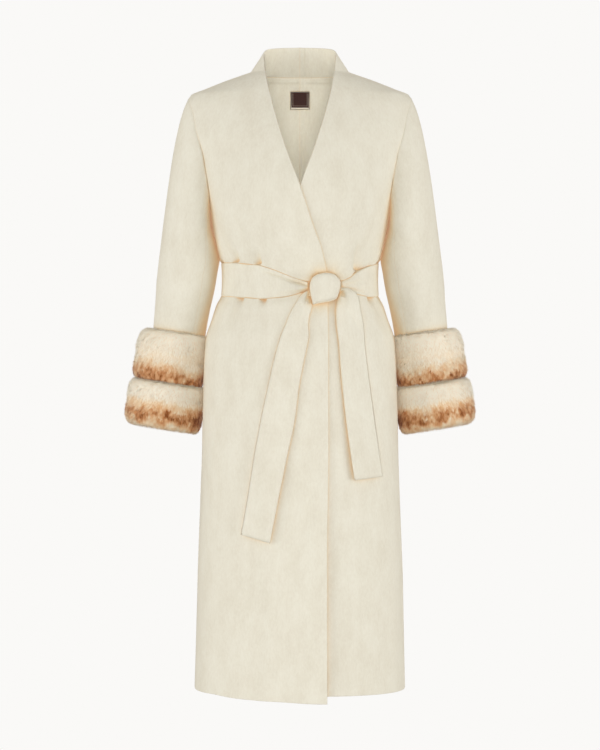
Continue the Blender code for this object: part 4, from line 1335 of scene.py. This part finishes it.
# %% The sash round the waist
SASH = {
    "angle": (39.5, 49.0, 58.0, 68.0, 90.0, 180.0, 270.0, 300.0, 319.0, 331.0, 345.0, 359.0, 369.2),
    "top": (-0.3790, -0.3700, -0.3592, -0.3500, -0.3411, -0.3380, -0.3411, -0.3444, -0.3495, -0.3560,
            -0.3661, -0.3749, -0.3802),
    "bottom": (-0.3916, -0.3965, -0.4026, -0.4052, -0.4030, -0.4010, -0.4023, -0.4066, -0.4096,
               -0.4089, -0.4066, -0.4004, -0.3943),
    "swell": (0.0075, 0.0060, 0.0030, 0.0010, 0.0, 0.0, 0.0, 0.0, 0.0008, 0.0020, 0.0045, 0.0070, 0.0080),
}
SASH_SEAT = 0.0004
SASH_EDGE = 0.0012
SASH_CREASES = {
    "x0": (-0.0810, -0.0300, -0.0450, 0.0700, 0.0690, 0.0760, -0.1100),
    "z0": (-0.3525, -0.3740, -0.3980, -0.3850, -0.3830, -0.3890, -0.3960),
    "x1": (0.0120, 0.0150, 0.0120, 0.1300, 0.1150, 0.1330, -0.0300),
    "z1": (-0.3835, -0.3860, -0.3905, -0.3740, -0.3640, -0.4010, -0.3985),
    "bow": (0.0008, 0.0, 0.0, 0.0, 0.0, 0.0012, 0.0),
    "depth": (-0.0030, -0.0036, 0.0014, -0.0024, 0.0012, -0.0026, -0.0008),
    "width": (0.0030, 0.0034, 0.0034, 0.0038, 0.0040, 0.0028, 0.0040),
    "fade_in": (0.40, 0.45, 0.5, 0.06, 0.1, 0.25, 0.4),
    "fade_out": (0.06, 0.06, 0.1, 0.6, 0.6, 0.4, 0.4),
}


def sash_grid(angles, shares_across):
    """Points of the sash's inner face, with the outward directions."""
    points = np.empty((len(angles), len(shares_across), 3))
    out = np.empty_like(points)
    for k, angle in enumerate(angles):
        top, bottom = columns(SASH, "top bottom", angle, by="angle")
        heights = bottom + (top - bottom) * shares_across
        turn = (angle + 180.0) % 360.0 - 180.0
        level = (top + bottom) / 2
        over = -90 < turn < 20
        out[k] = unit(body_point(turn, level, plain=True) * (1, 1, 0))
        inside = np.clip(heights, bottom + SASH_EDGE, top - SASH_EDGE)
        probes = np.stack([inside, 0 * heights + level], -1)
        near = np.linalg.norm(body_point(turn, probes, over, plain=True)[..., :2], axis=-1)
        points[k] = out[k] * (near.max(axis=-1) + SASH_SEAT)[:, None]
        points[k, :, 2] = heights
    return points, out


SASH_WIDTH, SASH_STEP, SASH_ROWS = 0.060, 0.0017, 250
angles = np.linspace(SASH["angle"][0], SASH["angle"][-1], SASH_ROWS)
across = shares(SASH_WIDTH, SASH_STEP)
inner, out = sash_grid(angles, across)
swell = column(SASH, "swell", angles, by="angle")[:, None] * (1 - (2 * across - 1) ** 2)
lines = creases_at(inner[..., 0], inner[..., 2], SASH_CREASES) * (inner[..., 1] < 0)
sash_waist = dress(add_strip("sash_waist_wool", inner, out, swell + lines), "sash_waist")
print("longest row and column:", cut_size(inner), "m")

# %% [markdown]
# The knot is the outer turn of the tied strip, pulled tight over the rest, so from the front it is
# one smooth rounded cushion. It is a stack of rounded outlines from back to front.

# %% The knot
KNOT_CENTRE = (0.0446, -0.3907)
KNOT = {
    "across": (-0.0275, -0.0243, -0.0165, -0.0023, 0.0082, 0.0169, 0.0243, 0.0265, 0.0257, 0.0230,
               0.0187, 0.0082, -0.0060, -0.0150, -0.0205, -0.0228, -0.0234, -0.0258),
    "up": (0.0025, 0.0156, 0.0226, 0.0266, 0.0261, 0.0231, 0.0156, 0.0086, -0.0010, -0.0099,
           -0.0187, -0.0230, -0.0257, -0.0275, -0.0289, -0.0275, -0.0230, -0.0130),
}
KNOT_BACK = -0.0930
KNOT_LEAN = 0.20
KNOT_RINGS = {
    "step": (0.0, 0.2, 0.4, 0.6, 0.8, 0.92, 1.0),
    "size": (1.02, 1.01, 1.0, 0.98, 0.93, 0.85, 0.75),
    "forward": (0.0, 0.0035, 0.0130, 0.0215, 0.0275, 0.0303, 0.0318),
}
KNOT_DOME = 0.0030
KNOT_DOME_SHARES = np.linspace(0.9, 0.02, 12)
KNOT_STEPS, KNOT_POINTS = 36, 96


def closed_curve(points, count):
    """A smooth closed curve through points, as count points on it."""
    points = np.asarray(points)
    spots = np.linspace(0, len(points), count, endpoint=False)
    i = spots.astype(int)
    t = (spots - i)[:, None]
    a, b, c, d = (points[(i + k) % len(points)] for k in (-1, 0, 1, 2))
    straight = 2 * b + (c - a) * t
    return 0.5 * (straight + (2 * a - 5 * b + 4 * c - d) * t**2 + (3 * b - a - 3 * c + d) * t**3)


def add_knot():
    """The knot, as rings from its back to its front and a fan of triangles at each end."""
    outline = closed_curve(list(zip(*KNOT.values())), KNOT_POINTS)
    size, forward = columns(KNOT_RINGS, "size forward", np.linspace(0, 1, KNOT_STEPS), by="step")
    dome = forward[-1] + KNOT_DOME * (1 - KNOT_DOME_SHARES**2)
    size = np.concatenate([size, size[-1] * KNOT_DOME_SHARES])[:, None]
    forward = np.concatenate([forward, dome])[:, None]
    up = outline[:, 1] * size
    lean = KNOT_LEAN * (1 - np.minimum(1, forward / KNOT_RINGS["forward"][-1]))
    across = KNOT_CENTRE[0] + outline[:, 0] * size
    rings = np.stack([across, KNOT_BACK - forward + lean * up, KNOT_CENTRE[1] + up], axis=-1)
    rows, round_it = rings.shape[:2]
    ends = rings[[0, -1]].mean(axis=1)
    quads = tube_quads(rows, round_it)[:-1]
    here = np.arange(round_it)
    after = np.roll(here, -1)
    last = (rows - 1) * round_it
    fans = [
        np.stack([np.full(round_it, rows * round_it + k), *sides], -1)
        for k, sides in enumerate([(here, after), (last + after, last + here)])
    ]
    points = np.concatenate([rings.reshape(-1, 3), ends])
    return add_mesh("sash_knot_wool", points, quads, cream_wool, np.concatenate(fans))


sash_knot = dress(add_knot(), "sash_knot")

# %% The hanging ends
LONG_END = {
    "left": (0.0168, 0.0090, 0.0018, -0.0035, -0.0097, -0.0176, -0.0258, -0.0330, -0.0463, -0.0568,
             -0.0690, -0.0813, -0.0918, -0.1035),
    "left_height": (-0.3945, -0.3972, -0.4034, -0.4104, -0.4210, -0.4352, -0.4558, -0.4725, -0.5191,
                    -0.5663, -0.6223, -0.6887, -0.7569, -0.8233),
    "right": (0.0196, 0.0205, 0.0213, 0.0216, 0.0205, 0.0163, 0.0147, 0.0157, 0.0070, -0.0017,
              -0.0087, -0.0227, -0.0367, -0.0524),
    "right_height": (-0.4060, -0.4105, -0.4150, -0.4195, -0.4280, -0.4420, -0.4560, -0.4740, -0.5191,
                     -0.5663, -0.6223, -0.6887, -0.7569, -0.8373),
    "swell": (0.0050, 0.0056, 0.0058, 0.0058, 0.0054, 0.0042, 0.0028, 0.0018, 0.0006, 0.0, 0.0, 0.0,
              0.0, 0.0),
    "hang": 0.0965,
}
SHORT_END = {
    "left": (0.0694, 0.0690, 0.0676, 0.0660, 0.0646, 0.0636, 0.0627, 0.0636, 0.0680, 0.0711, 0.0780,
             0.0850, 0.0953),
    "left_height": (-0.3965, -0.3995, -0.4030, -0.4070, -0.4120, -0.4180, -0.4317, -0.4528, -0.4898,
                    -0.5331, -0.6013, -0.6572, -0.7280),
    "right": (0.0712, 0.0813, 0.0915, 0.0987, 0.1031, 0.1053, 0.1077, 0.1121, 0.1150, 0.1198, 0.1290,
              0.1369, 0.1460),
    "right_height": (-0.3893, -0.3897, -0.3935, -0.3992, -0.4069, -0.4150, -0.4317, -0.4550, -0.4898,
                     -0.5331, -0.6013, -0.6572, -0.7228),
    "swell": (0.0040, 0.0052, 0.0062, 0.0066, 0.0064, 0.0058, 0.0044, 0.0030, 0.0014, 0.0006, 0.0,
              0.0, 0.0),
    "hang": 0.0905,
}
END_CREASES = {
    "x0": (0.0172, 0.0000, 0.0178, 0.0128, 0.0708, 0.0790, -0.0300, 0.0780),
    "z0": (-0.3945, -0.4170, -0.4050, -0.4170, -0.3965, -0.4060, -0.5000, -0.4500),
    "x1": (-0.0020, -0.0080, 0.0126, 0.0105, 0.0805, 0.0800, -0.0550, 0.0850),
    "z1": (-0.4270, -0.4560, -0.4280, -0.4420, -0.4090, -0.4300, -0.6200, -0.5600),
    "bow": (-0.0048, 0.0, -0.0022, 0.0, 0.0, 0.0, 0.0, 0.0),
    "depth": (-0.0044, -0.0024, -0.0040, -0.0022, -0.0042, -0.0018, -0.0010, -0.0010),
    "width": (0.0036, 0.0050, 0.0032, 0.0044, 0.0040, 0.0060, 0.0080, 0.0090),
    "fade_in": (0.05, 0.05, 0.05, 0.05, 0.05, 0.1, 0.4, 0.4),
    "fade_out": (0.65, 0.8, 0.65, 0.8, 0.7, 0.8, 0.5, 0.5),
}
END_GAP = 0.0012
END_KICK = 0.0050
END_WIDTH, END_STEP, END_ROWS = 0.048, 0.0018, 210


def section_front(across, height):
    """How far the front of the skin stands from the middle at a place across it."""
    half_width, front, power = columns(BODY, "half_width front power", waist_height(0.0, height))
    return front * np.clip(1 - (np.abs(across) / half_width) ** power, 0.0, 1.0) ** (1 / power)


def front_depth(across, height):
    """How far the outermost cloth of the front stands forward at a place seen from the front."""
    angle = np.degrees(np.arctan2(across, section_front(across, height)))
    edge = column(FRONT_EDGE, "across", height) + EDGE_REACH
    over, under = (-body_point(angle, height, lies_over, True)[..., 1] for lies_over in (True, False))
    return np.where(across < edge, over, under)


def end_grid(table):
    """The inner face of a hanging end: a grid of points down it, and the swell at each."""
    count = len(table["left"])
    steps = np.linspace(0, count - 1, END_ROWS)
    left, left_height, right, right_height, swell = (
        smooth(np.arange(count), table[name], steps)[:, None]
        for name in ("left", "left_height", "right", "right_height", "swell")
    )
    share = shares(END_WIDTH, END_STEP)
    across = left + (right - left) * share
    height = left_height + (right_height - left_height) * share
    kick = END_KICK * ease(steps, count - 4, count - 1)[:, None]
    depth = np.maximum(front_depth(across, height) + END_GAP + kick, table["hang"])
    return np.stack([across, -depth, height], -1), swell * (1 - (2 * share - 1) ** 2)


for end_name, table in (("sash_end_long", LONG_END), ("sash_end_short", SHORT_END)):
    inner, swell = end_grid(table)
    out = np.broadcast_to(TO_FRONT, inner.shape)
    relief = swell + creases_at(inner[..., 0], inner[..., 2], END_CREASES)
    dress(add_strip(f"{end_name}_wool", inner[::-1], out, relief[::-1]), end_name)
    print("longest row and column:", cut_size(inner), "m")

# %% [markdown]
# ## The label
#
# Inside the back, below the collar, a small woven label is sewn over the seam. It is dark satin, with
# a fine line woven round it near its edge, and it carries no words here.

# %% The label
LABEL_TOP = -0.0235
LABEL_BOTTOM = -0.0545
LABEL_HALF = 0.0174
LABEL_CLOTH = 0.0008
LABEL_STEP = 0.0012
LABEL_RADIUS = 0.085
LABEL_LINES = {
    "inset": (0.0, 0.0012, 0.0014, 0.0038, 0.0041, 0.0047, 0.0050),
    "pale": (1.0, 1.0, 0.0, 0.0, 0.20, 0.20, 0.0),
}

satin, tree, shader = new_material("woven_label_satin")
place = node(tree, "ShaderNodeTexCoord").outputs["Object"]
thread = node(tree, "ShaderNodeTexNoise", links={"Vector": place}, Scale=1 / (0.9 * MM), Detail=3.0)
tone = tone_of(tree, thread.outputs["Fac"], [(0.3, "#311A17"), (0.7, "#452924")])
pale = node(tree, "ShaderNodeAttribute", {"attribute_name": "pale_thread"}).outputs["Fac"]
lined = mix(tree, pale, tone, linear("#F2EAD8"))
plug(tree, shader, {"Base Color": lined}, Roughness=0.6, Specular_IOR_Level=0.2)

lines = LABEL_LINES["inset"][1:]
across, heights = np.meshgrid(*(
    spread(low, high, LABEL_STEP, lines)
    for low, high in ((-LABEL_HALF, LABEL_HALF), (LABEL_BOTTOM, LABEL_TOP))
))
angles = np.full(across.shape, 180.0)
for _ in range(8):
    angles = angles + np.degrees((skin(angles, heights)[..., 0] - across) / LABEL_RADIUS)
points = skin(angles, heights)
out = skin_normal(angles, heights)
seat = points - out * (CLOTH + WELT + SEAM_GAP)
label = add_wall("neck_label_satin", seat, out, satin, thickness=LABEL_CLOTH)
spots = np.zeros(len(label.data.vertices) * 3)
label.data.vertices.foreach_get("co", spots)
x, _, z = spots.reshape(-1, 3).T
inset = np.minimum(LABEL_HALF - np.abs(x), np.minimum(z - LABEL_BOTTOM, LABEL_TOP - z))
pale = label.data.attributes.new("pale_thread", "FLOAT", "POINT")
pale.data.foreach_set("value", np.interp(inset, *LABEL_LINES.values()))
dress(label, "neck_label")

# %% The light inside the neck
def group(name, members):
    made = bpy.data.collections.new(name)
    for member in members:
        made.objects.link(bpy.data.objects[member])
    return made


back_pieces = group("inside_of_the_neck", ["back_right_wool", "back_left_wool", "neck_label_satin"])
neck_light.light_linking.receiver_collection = back_pieces
neck_light.light_linking.blocker_collection = back_pieces
collar_pieces = group("grown_on_collar", ["front_right_wool", "front_left_wool"])
collar_light.light_linking.receiver_collection = collar_pieces
collar_light.visible_camera = False
print("lights of the neck ready")
